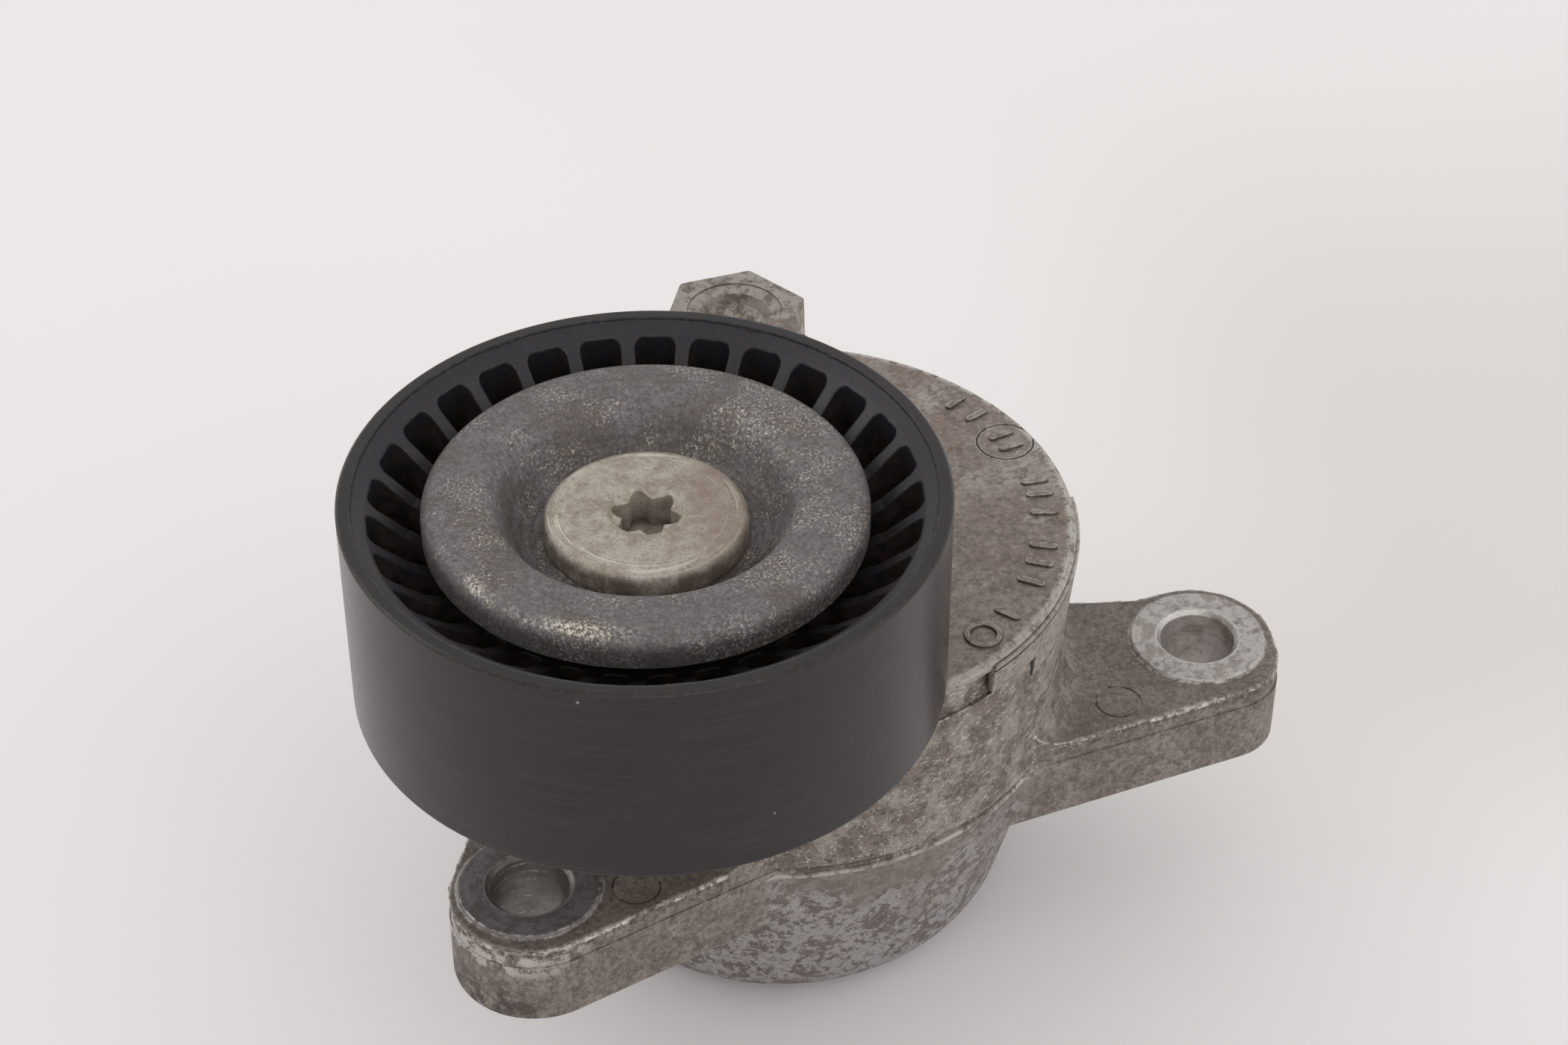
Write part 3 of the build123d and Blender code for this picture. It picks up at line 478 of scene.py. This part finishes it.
def cast_arm():
    """Die-cast arm: blotchy grey-brown lid with faint diagonal rub marks, worn rim."""
    pale, brown, rubbed, stain = (156, 147, 140), (130, 118, 109), (118, 107, 99), (116, 101, 90)
    patch, speck, light = (94, 83, 75), (84, 74, 68), (182, 175, 168)
    scratched, scored = (188, 182, 176), (88, 79, 73)
    side_bare, rim_bare, edge_bare = (182, 178, 174), (190, 186, 181), (214, 210, 205)
    hexagon_brown, low_brown, crevice_dirt_and_shade = (98, 87, 79), (96, 83, 74), (50, 41, 35)
    p = Paint("cast_arm_aluminium", Metallic=0.3)
    skin = cast_skin(p, 20.0)
    pivot_r = p.radius(PIVOT)
    strokes = p.streaks(-35, 0.9, 2.0, 9, 4)
    scratch = p.streaks(-35, 1.2, 8.0, 4, 5)
    cross = p.streaks(40, 1.2, 8.0, 4, 15)

    paint = p.blend(p.rise(skin["broad"], 0.42, 0.58), pale, brown)
    paint = p.over(paint, rubbed, p.rise(strokes, 0.47, 0.55), 0.5)
    paint = p.over(paint, stain, p.rise(skin["zone"], 0.47, 0.58), 0.6)
    paint = p.over(paint, patch, p.rise(skin["patch"], 0.53, 0.57), 0.6)
    paint = p.over(paint, speck, p.rise(skin["speck"], 0.545, 0.575), 0.5)
    paint = p.over(paint, light, p.rise(skin["speck"], 0.45, 0.40), 0.3)
    paint = p.over(paint, scratched, p.rise(scratch, 0.58, 0.66), 0.35)
    paint = p.over(paint, scored, p.rise(cross, 0.60, 0.68), 0.3)

    side = p.times(p.rise(pivot_r, LID_R - 0.9, LID_R - 0.1), p.rise(p.z, LID_TOP - 0.1, LID_TOP - 0.8))
    paint = p.over(paint, side_bare, side, p.rise(strokes, 0.60, 0.46), 0.7)
    rim = p.times(p.rise(pivot_r, LID_R - 1.5, LID_R - 1.0), p.rise(p.z, LID_TOP - 1.0, LID_TOP - 0.7))
    paint = p.over(paint, rim_bare, rim, p.rise(skin["patch"], 0.55, 0.46), 0.6)
    chipped = p.rise(p.noise(0.8, 6, 0.75, shift=17), 0.44, 0.55)
    paint = p.over(paint, edge_bare, p.edge(0.45), chipped, 0.85)
    paint = p.over(paint, hexagon_brown, p.rise(p.z, LID_TOP + 2.5, LID_TOP + 3.5), 0.35)
    paint = p.over(paint, low_brown, p.rise(p.y, -6.0, -30.0), 0.32)
    # Dirt and painted shade: corners and the lid beside the drum darkened by ambient occlusion
    paint = p.over(paint, crevice_dirt_and_shade, p.rise(p.crevice(1.6), 0.10, 0.42), 0.85)

    waves = p.noise(0.2, 3, 0.5, shift=3)
    relief = ((waves, 0.12), (skin["patch"], 0.05), (scratch, 0.02), (cross, 0.015))
    p.bump(*relief, (skin["fine"], 0.03), (skin["grain"], 0.02), soften=0.30)
    return p.finish(paint, p.plus(0.46, p.times(skin["fine"], 0.25)))


def drum_plastic():
    """Black glass-filled polymer, polished by the belt outside and dusty in the pockets."""
    inside, outside, cloudy, pocket = (25, 19, 22), (28, 21, 23), (38, 31, 33), (31, 29, 33)
    belt_rub, fleck, dusty = (52, 46, 46), (150, 145, 140), (84, 64, 52)
    edge_rub, grimy = (88, 82, 83), (62, 52, 46)
    p = Paint("drum_polymer", IOR=1.46, Specular_IOR_Level=0.45)
    r = p.radius(PULLEY)
    around = p.angle(PULLEY)
    fine = p.noise(2.5, 5, 0.65)
    cloud = p.noise(0.10, 4, 0.6)
    hoop = p.join(p.times(around, DRUM_R * 0.05), p.times(p.z, 1.6), 0.0)
    rubs = p.noise(1.0, 5, 0.65, at=hoop, shift=4)
    on_face = p.rise(r, DRUM_R - 0.8, DRUM_R - 0.2)
    inner = p.rise(r, RIM_STEP_R + 0.4, RIM_STEP_R - 0.2)

    paint = p.blend(on_face, inside, outside)
    paint = p.over(paint, cloudy, p.rise(cloud, 0.35, 0.7), 0.5)
    paint = p.over(paint, pocket, inner)
    paint = p.over(paint, belt_rub, on_face, p.rise(rubs, 0.48, 0.66), 0.3)
    specks = p.times(p.rise(p.cells(0.10), 0.026, 0.014), p.rise(cloud, 0.45, 0.55))
    paint = p.over(paint, fleck, on_face, specks, 0.7)
    dust = p.times(
        p.rise(p.crevice(7.0), 0.35, 0.95),
        p.rise(p.noise(0.5, 8, 0.7, shift=6), 0.40, 0.60),
        inner,
    )
    paint = p.over(paint, dusty, dust, 0.75)
    rub = p.times(p.edge(0.5), p.rise(p.noise(1.2, 6, 0.75, shift=27), 0.48, 0.60))
    paint = p.over(paint, edge_rub, rub, 0.45)
    grime = p.times(inner, p.rise(p.noise(1.6, 6, 0.7, shift=16), 0.52, 0.64))
    paint = p.over(paint, grimy, grime, 0.35)

    belt_polish = p.plus(0.18, p.times(fine, 0.10), p.times(rubs, 0.08))
    roughness = p.plus(belt_polish, p.times(dust, 0.3), p.times(inner, 0.12))
    waves = p.noise(0.10, 2, 0.5, shift=9)
    p.bump((waves, 0.05), (p.times(rubs, on_face), 0.006), (fine, 0.010), soften=0.5)
    return p.finish(paint, roughness)


def cover_steel():
    """Pressed steel with a dark grey speckled coat, bright worn flecks and a painted highlight on the crest's
    front left.
    """
    pale, dark, brown, deep_brown = (118, 115, 116), (92, 86, 82), (92, 82, 74), (66, 59, 53)
    bluish, hoop_dark, light_salt = (148, 149, 155), (64, 60, 60), (148, 147, 149)
    dark_salt, flecked, crest_highlight = (56, 50, 48), (200, 191, 180), (214, 205, 190)
    crevice_dirt_and_shade = (46, 40, 37)
    p = Paint("cover_zinc_steel", Metallic=0.45)
    r = p.radius(PULLEY)
    around = p.angle(PULLEY)
    zone = p.noise(0.11, 4, 0.6)
    speck = p.noise(1.5, 10, 0.80)
    salt = p.noise(2.6, 7, 0.8, shift=13)
    area = p.noise(0.15, 5, 0.65, shift=23)
    hoops = p.noise(1.0, 6, 0.7, at=p.join(p.times(around, 3.0), p.times(r, 1.6), 0.0), shift=2)

    paint = p.blend(p.rise(speck, 0.40, 0.60), pale, dark)
    paint = p.over(paint, brown, p.rise(zone, 0.46, 0.58), 0.55)
    deep = p.times(p.rise(r, 18.5, 14.5), p.rise(hoops, 0.42, 0.56))
    paint = p.over(paint, deep_brown, deep, 0.6)
    paint = p.over(paint, bluish, p.rise(speck, 0.38, 0.31), 0.6)
    paint = p.over(paint, hoop_dark, p.rise(hoops, 0.52, 0.66), 0.35)
    paint = p.over(paint, light_salt, p.rise(salt, 0.56, 0.60), 0.5)
    paint = p.over(paint, dark_salt, p.rise(salt, 0.44, 0.40), 0.55)
    right = p.times(p.rise(p.x, PULLEY[0] + 4.0, PULLEY[0] + 16.0), p.rise(r, 14.0, 17.0))
    worn_here = p.plus(area, p.times(right, 0.07))
    worn = p.times(p.rise(worn_here, 0.48, 0.60), p.rise(salt, 0.535, 0.59))
    paint = p.over(paint, flecked, worn, 0.85)
    # Painted highlight along the crest towards the front left (the mask named painted_highlight); it also lowers
    # the roughness there
    on_crest = p.times(p.rise(r, 25.3, 26.2), p.rise(r, 27.5, 27.0))
    near_left = p.times(
        p.rise(p.x, PULLEY[0] + 2.0, PULLEY[0] - 10.0),
        p.rise(p.y, PULLEY[1] - 10.0, PULLEY[1] - 20.0),
    )
    painted_highlight = p.times(on_crest, near_left, p.rise(area, 0.44, 0.54))
    paint = p.over(paint, crest_highlight, painted_highlight, p.rise(salt, 0.46, 0.56), 0.8)
    # Dirt and painted shade in tight corners, from ambient occlusion
    paint = p.over(paint, crevice_dirt_and_shade, p.rise(p.crevice(2.4), 0.3, 0.85), 0.75)
    waves = p.noise(0.3, 3, 0.5, shift=2)
    p.bump((waves, 0.05), (speck, 0.05), (salt, 0.02), (hoops, 0.012))
    return p.finish(paint, p.plus(0.40, p.times(speck, 0.24), p.times(painted_highlight, -0.12)))


def bolt_steel():
    """Worn pale-grey bolt: matt scratched top, bright arcs on the shoulder, dirt and painted shade in the socket.
    """
    pale, brown, brushed, scored = (172, 164, 153), (143, 132, 120), (190, 183, 173), (116, 105, 95)
    dark, light, arc_bare = (106, 95, 86), (200, 194, 185), (218, 211, 200)
    rim_dark, right_brown, crevice_dirt_and_shade = (104, 93, 84), (118, 102, 89), (62, 50, 41)
    p = Paint("bolt_worn_steel", Metallic=0.35)
    r = p.radius(PULLEY)
    around = p.angle(PULLEY)
    brush = p.streaks(50, 0.5, 3.2, 5)
    cross = p.streaks(-20, 0.6, 4.5, 4, 8)
    blot = p.noise(0.30, 9, 0.7)
    fine = p.noise(2.6, 6, 0.75)
    arcs = p.noise(1.0, 4, 0.6, at=p.join(p.times(around, 1.1), p.times(r, 3.2), 0.0), shift=9)

    paint = p.blend(p.rise(blot, 0.40, 0.60), pale, brown)
    paint = p.over(paint, brushed, p.rise(brush, 0.52, 0.66), 0.45)
    paint = p.over(paint, scored, p.rise(cross, 0.55, 0.68), 0.35)
    paint = p.over(paint, dark, p.rise(fine, 0.54, 0.62), 0.55)
    paint = p.over(paint, light, p.rise(fine, 0.43, 0.36), 0.35)
    shoulder = p.times(p.rise(r, HEAD_R - 3.2, HEAD_R - 2.2), p.rise(r, HEAD_R - 0.2, HEAD_R - 0.8))
    paint = p.over(paint, arc_bare, shoulder, p.rise(arcs, 0.52, 0.60), 0.6)
    rim = p.rise(r, HEAD_R - 0.5, HEAD_R - 0.05)
    paint = p.over(paint, rim_dark, rim, p.rise(blot, 0.4, 0.6), 0.7)
    paint = p.over(paint, right_brown, p.rise(p.x, PULLEY[0] + 1.0, PULLEY[0] + 10.0), 0.45)
    # Dirt and painted shade: the socket and corners darkened by ambient occlusion
    dirt_and_shade = p.rise(p.crevice(2.0), 0.25, 0.8)
    paint = p.over(paint, crevice_dirt_and_shade, dirt_and_shade, 0.85)
    waves = p.noise(0.25, 3, 0.5)
    p.bump((waves, 0.04), (brush, 0.015), (cross, 0.012), (fine, 0.025), soften=0.25)
    return p.finish(paint, p.plus(0.44, p.times(fine, 0.2), p.times(dirt_and_shade, 0.15)))


def turned_steel(name, tint, dark, centre, rough=0.28):
    """Machined or rolled steel with fine turning rings about a vertical axis."""
    bright, crevice_dirt_and_shade = (215, 214, 211), (60, 55, 50)
    p = Paint(name, Metallic=0.9)
    along = p.join(p.times(p.radius(centre), 5.0), p.times(p.z, 5.0), 0.0)
    rings = p.noise(1.0, 3, 0.6, at=along)
    stain = p.noise(0.3, 4, 0.6)
    paint = p.blend(p.rise(stain, 0.4, 0.7), tint, dark)
    paint = p.over(paint, bright, p.rise(rings, 0.45, 0.7), 0.35)
    # Dirt and painted shade in tight corners, from ambient occlusion
    paint = p.over(paint, crevice_dirt_and_shade, p.rise(p.crevice(1.5), 0.3, 0.9), 0.5)
    p.bump((rings, 0.006), (p.noise(4.0, 3, 0.6), 0.004))
    return p.finish(paint, p.plus(rough, p.times(stain, 0.15)))


def coated_steel(name, tint, wear):
    """Spring steel under a dark phosphate coat, rubbed on its high spots."""
    rubbed = (150, 148, 144)
    p = Paint(name, Metallic=0.45)
    spot = p.noise(1.2, 5, 0.7)
    fine = p.noise(5.0, 3, 0.6)
    paint = p.blend(p.rise(spot, 0.52, 0.66), tint, wear)
    paint = p.over(paint, rubbed, p.edge(0.3), 0.5)
    p.bump((fine, 0.015), (spot, 0.02))
    return p.finish(paint, p.plus(0.5, p.times(fine, 0.15)))


def moulded(name, tint, stain, rough=0.5):
    """Moulded polymer or rubber with a fine matt grain and a few stains."""
    crevice_dirt_and_shade = (40, 36, 32)
    p = Paint(name)
    cloud = p.noise(0.35, 4, 0.6)
    grain = p.noise(5.0, 4, 0.6)
    paint = p.blend(p.rise(cloud, 0.42, 0.68), tint, stain)
    # Dirt and painted shade in tight corners, from ambient occlusion
    paint = p.over(paint, crevice_dirt_and_shade, p.rise(p.crevice(1.5), 0.3, 0.9), 0.5)
    p.bump((grain, 0.012), (cloud, 0.03))
    return p.finish(paint, p.plus(rough, p.times(grain, 0.15)))


def inner_steels():
    """The steel parts that are hidden or nearly so."""
    race, race_dark = (186, 186, 185), (150, 149, 147)
    ball, ball_dark = (205, 205, 205), (182, 182, 182)
    return {
        "pivot_shaft": turned_steel("shaft_ground_steel", (168, 166, 163), (120, 115, 108), PIVOT),
        "retaining_washer": turned_steel("retainer_steel", (150, 149, 147), (112, 108, 103), PIVOT),
        "end_cap": turned_steel("cap_zinc_steel", (162, 164, 166), (124, 122, 118), PIVOT, 0.36),
        "rear_shield": turned_steel("shield_zinc_steel", (128, 132, 138), (96, 95, 94), PULLEY, 0.36),
        "bearing_inner": turned_steel("race_inner_steel", race, race_dark, PULLEY, 0.16),
        "bearing_outer": turned_steel("race_outer_steel", race, race_dark, PULLEY, 0.16),
        "bearing_balls": turned_steel("ball_polished_steel", ball, ball_dark, PULLEY, 0.06),
        "torsion_spring": coated_steel("spring_phosphate", (52, 53, 55), (92, 90, 86)),
        "snap_ring": coated_steel("clip_black_steel", (44, 44, 46), (98, 95, 90)),
    }


def inner_polymers():
    rubber, rubber_dusty = (34, 33, 33), (48, 45, 43)
    return {
        "pivot_bush": moulded("bush_liner", (62, 66, 60), (46, 48, 45)),
        "thrust_washer": moulded("washer_polymer", (205, 198, 180), (168, 156, 134)),
        "friction_ring": moulded("friction_ring_polymer", (176, 164, 128), (134, 120, 92)),
        "ball_cage": moulded("cage_polymer", (190, 176, 134), (160, 144, 104)),
        "bearing_seal_front": moulded("seal_rubber_front", rubber, rubber_dusty, 0.6),
        "bearing_seal_rear": moulded("seal_rubber_rear", rubber, rubber_dusty, 0.6),
    }


def paint_nodes():
    looks = {
        "base_housing": cast_base(),
        "arm": cast_arm(),
        "pulley_drum": drum_plastic(),
        "dust_cover": cover_steel(),
        "pulley_bolt": bolt_steel(),
        **inner_steels(),
        **inner_polymers(),
    }
    for name, material in looks.items():
        for slot in frame["nodes"][name].material_slots:
            slot.material = material
    return looks


# --- casting flash and moulding flash: thin ragged ridges that the CAD parts leave out -----


def cut_links(node, z_mm, keep_beyond):
    """Where a level plane cuts a CAD node, further out than keep_beyond: each point's neighbours."""
    mesh = bmesh.new()
    mesh.from_mesh(frame["nodes"][node].data)
    bmesh.ops.remove_doubles(mesh, verts=mesh.verts, dist=0.002 * MM)
    everything = mesh.verts[:] + mesh.edges[:] + mesh.faces[:]
    level = {"plane_co": (0, 0, z_mm * MM), "plane_no": (0, 0, 1)}
    cut = bmesh.ops.bisect_plane(mesh, geom=everything, **level)
    links = {}
    for edge in cut["geom_cut"]:
        if isinstance(edge, bmesh.types.BMEdge):
            ends = [(round(v.co.x / MM, 3), round(v.co.y / MM, 3)) for v in edge.verts]
            if all(math.hypot(*end) > keep_beyond for end in ends):
                links.setdefault(ends[0], set()).add(ends[1])
                links.setdefault(ends[1], set()).add(ends[0])
    mesh.free()
    return links


def outline_at(node, z_mm, keep_beyond):
    """The same cut as runs of XY points. A closed run ends where it starts."""
    links = cut_links(node, z_mm, keep_beyond)
    runs = []
    while links:
        start = min(links, key=lambda end: (len(links[end]), end))
        run = [start]
        while links.get(run[-1]):
            following = min(links[run[-1]])
            links[run[-1]].discard(following)
            links[following].discard(run[-1])
            run.append(following)
        for point in run:
            if point in links and not links[point]:
                del links[point]
        runs.append(run)
    return runs


def resample(run, step):
    """Points at an even step along a run, each with its direction."""
    placed = []
    left = 0.0
    for (ax, ay), (bx, by) in zip(run, run[1:]):
        length = math.hypot(bx - ax, by - ay)
        if length < 1e-6:
            continue
        direction = ((bx - ax) / length, (by - ay) / length)
        while left < length:
            placed.append((ax + direction[0] * left, ay + direction[1] * left, direction))
            left += step
        left -= length
    return placed


def ridge(name, stations, body, material, closed=False):
    """A thin closed bar: each station is (x, y, z, outward x, outward y, height, half width)."""
    mesh = bmesh.new()
    rings = []
    for x, y, z, ox, oy, height, half in stations:
        # Four corners, each (outward, up): the buried root, the lower side, the tip, the upper side
        section = ((-0.30, 0.0), (-0.06, -half), (height, 0.25 * half), (-0.22, half))
        points = [Vector((x + ox * out, y + oy * out, z + rise)) * MM for out, rise in section]
        for point in points:
            for axis in range(3):
                point[axis] = min(max(point[axis], CAD_BOX[0][axis]), CAD_BOX[1][axis])
        rings.append([mesh.verts.new(point) for point in points])
    pairs = list(zip(rings, rings[1:]))
    if closed:
        pairs.append((rings[-1], rings[0]))
    else:
        mesh.faces.new(rings[0])
        mesh.faces.new(rings[-1])
    for first, second in pairs:
        for k in range(4):
            mesh.faces.new((first[k], first[(k + 1) % 4], second[(k + 1) % 4], second[k]))
    bmesh.ops.recalc_face_normals(mesh, faces=mesh.faces)
    made = bpy.data.meshes.new(name)
    mesh.to_mesh(made)
    mesh.free()
    made.materials.append(material)
    piece = bpy.data.objects.new(name, made)
    bpy.context.scene.collection.objects.link(piece)
    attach(piece, body)


def ragged(x, y, z, size, seed):
    """A height of 0 to size that changes over about a millimetre, with gaps."""
    slow = noise.noise(Vector((x * 0.33, y * 0.33, z + seed)))
    fast = noise.noise(Vector((x * 1.9, y * 1.9, z - seed)))
    return size * min(max(0.30 + 1.1 * slow + 0.8 * fast, 0.0), 1.0)


def lug_flash(material):
    """Chipped flash along the lugs' top edge."""
    z = LUG_EDGE
    step = 0.35
    fewest = 20
    towards_hole = 0.7
    runs = outline_at("base_housing", z - 0.1, WALL_R + 1.2)
    open_runs = [run for run in runs if run[0] != run[-1]]
    for number, run in enumerate(open_runs):
        inside = [towards_hole * part for part in run[len(run) // 2]]
        stations = []
        for x, y, (dx, dy) in resample(run, step):
            ox, oy = dy, -dx
            if ox * (x - inside[0]) + oy * (y - inside[1]) < 0:
                ox, oy = -ox, -oy
            height = ragged(x, y, z, 0.32, 3)
            half = 0.10 + ragged(x, y, z, 0.10, 8)
            stations.append((x, y, z, ox, oy, height, half))
        if len(stations) > fewest:
            ridge(f"lug_flash_{number}", stations, "base", material)


def ledge_chips(material):
    """Ragged lumps where the ledge under the wall runs into each lug."""
    r = LEDGE_R - 0.3
    z = LEDGE_Z + 0.7
    degrees_apart = 0.5
    for name, start, end in (("far", -44.0, -35.5), ("near", -97.5, -84.0)):
        stations = []
        count = int((end - start) / degrees_apart)
        for k in range(count + 1):
            angle = math.radians(start + (end - start) * k / count)
            ox, oy = math.cos(angle), math.sin(angle)
            x, y = r * ox, r * oy
            taper = math.sin(math.pi * k / count)
            height = taper * (0.45 + ragged(x, y, 1, 0.55, 5))
            half = 0.2 + taper * (0.5 + ragged(x, y, 2, 0.4, 6))
            stations.append((x, y, z, ox, oy, height, half))
        ridge(f"ledge_chips_{name}", stations, "base", material)


def rim_flash(material):
    """Moulding flash on the step inside the drum's rim and on its outer top edge."""
    count = 720
    inwards, outwards = -1, 1
    for name, radius, z, side, size in (
        ("rim_step_flash", RIM_STEP_R + 0.02, DRUM_TOP - 0.17, inwards, 0.30),
        ("rim_edge_flash", DRUM_R - 0.24, DRUM_TOP - 0.22, outwards, 0.16),
    ):
        stations = []
        for k in range(count):
            angle = 2 * math.pi * k / count
            ox, oy = math.cos(angle), math.sin(angle)
            x, y = PULLEY[0] + radius * ox, PULLEY[1] + radius * oy
            height = ragged(x, y, z, size, 11)
            stations.append((x, y, z, side * ox, side * oy, height, 0.10))
        ridge(name, stations, "pulley", material, closed=True)


# --- stage, light and camera, in metres ------------------------------------------

FLOOR_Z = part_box("base_housing")[0].z
FLOOR_HALF = 3.0

LENS_MM = 76.77
SENSOR_MM = 36.0
NEAREST_SEEN = 0.01
CAMERA_PLACE = (-0.02573, -0.35479, 0.32632)
CAMERA_TURN = (
    (0.997373, 0.044345, -0.057285),
    (-0.072425, 0.628726, -0.774247),
    (0.001682, 0.776362, 0.630285),
)


def stage():
    """A pale paper floor with a painted shadow a little to the right of the part."""
    half = FLOOR_HALF
    plan = ((-half, -half), (half, -half), (half, half), (-half, half))
    mesh = bpy.data.meshes.new("floor")
    mesh.from_pydata([(x, y, FLOOR_Z) for x, y in plan], [], [(0, 1, 2, 3)])
    floor = bpy.data.objects.new("floor", mesh)
    bpy.context.scene.collection.objects.link(floor)
    paper_light, paper_dull, shaded = (234, 232, 231), (231, 228, 227), (212, 206, 202)
    p = Paint("floor_paper", Specular_IOR_Level=0.2)
    paper = p.blend(p.rise(p.noise(0.004, 2, 0.5), 0.3, 0.7), paper_light, paper_dull)
    # Painted shadow: the floor darkened to the right of the part
    rightwards = p.rise(p.x, 30.0, 115.0)
    shade = p.times(rightwards, p.rise(p.y, -30.0, 45.0), p.rise(p.y, 260.0, 90.0))
    mesh.materials.append(p.finish(p.over(paper, shaded, shade, 0.75), 0.8))


def softbox(name, place, aim, size, watts):
    light = bpy.data.lights.new(name, "AREA")
    light.shape = "RECTANGLE"
    light.size, light.size_y = size
    light.energy = watts
    lamp = bpy.data.objects.new(name, light)
    lamp.location = place
    lamp.rotation_euler = (Vector(aim) - Vector(place)).to_track_quat("-Z", "Y").to_euler()
    bpy.context.scene.collection.objects.link(lamp)


def lights():
    world = bpy.data.worlds.new("studio")
    world.use_nodes = True
    background = world.node_tree.nodes["Background"]
    background.inputs["Color"].default_value = (1.0, 0.985, 0.98, 1)
    background.inputs["Strength"].default_value = 0.84
    bpy.context.scene.world = world
    softbox("key", (-0.95, 0.15, 0.75), (0, 0, 0.02), (0.8, 0.8), 2.4)
    softbox("top", (0.1, 0.1, 1.3), (0, 0, 0), (1.2, 1.2), 0.5)
    softbox("right", (0.9, -0.2, 0.5), (0, 0, 0.03), (0.5, 0.9), 1.0)
    softbox("front", (0.2, -1.0, 0.6), (0, 0, 0), (1.2, 0.6), 2.2)


def camera():
    """The photo's own viewpoint, solved from the pulley's and the lid's edges."""
    data = bpy.data.cameras.new("camera")
    data.sensor_width = SENSOR_MM
    data.lens = LENS_MM
    data.clip_start = NEAREST_SEEN
    cam = bpy.data.objects.new("camera", data)
    cam.matrix_world = Matrix.Translation(CAMERA_PLACE) @ Matrix(CAMERA_TURN).to_4x4()
    bpy.context.scene.collection.objects.link(cam)
    bpy.context.scene.camera = cam


looks = paint_nodes()
lug_flash(looks["base_housing"])
ledge_chips(looks["base_housing"])
rim_flash(looks["pulley_drum"])
stage()
lights()
camera()
bpy.context.scene.view_settings.view_transform = "Standard"
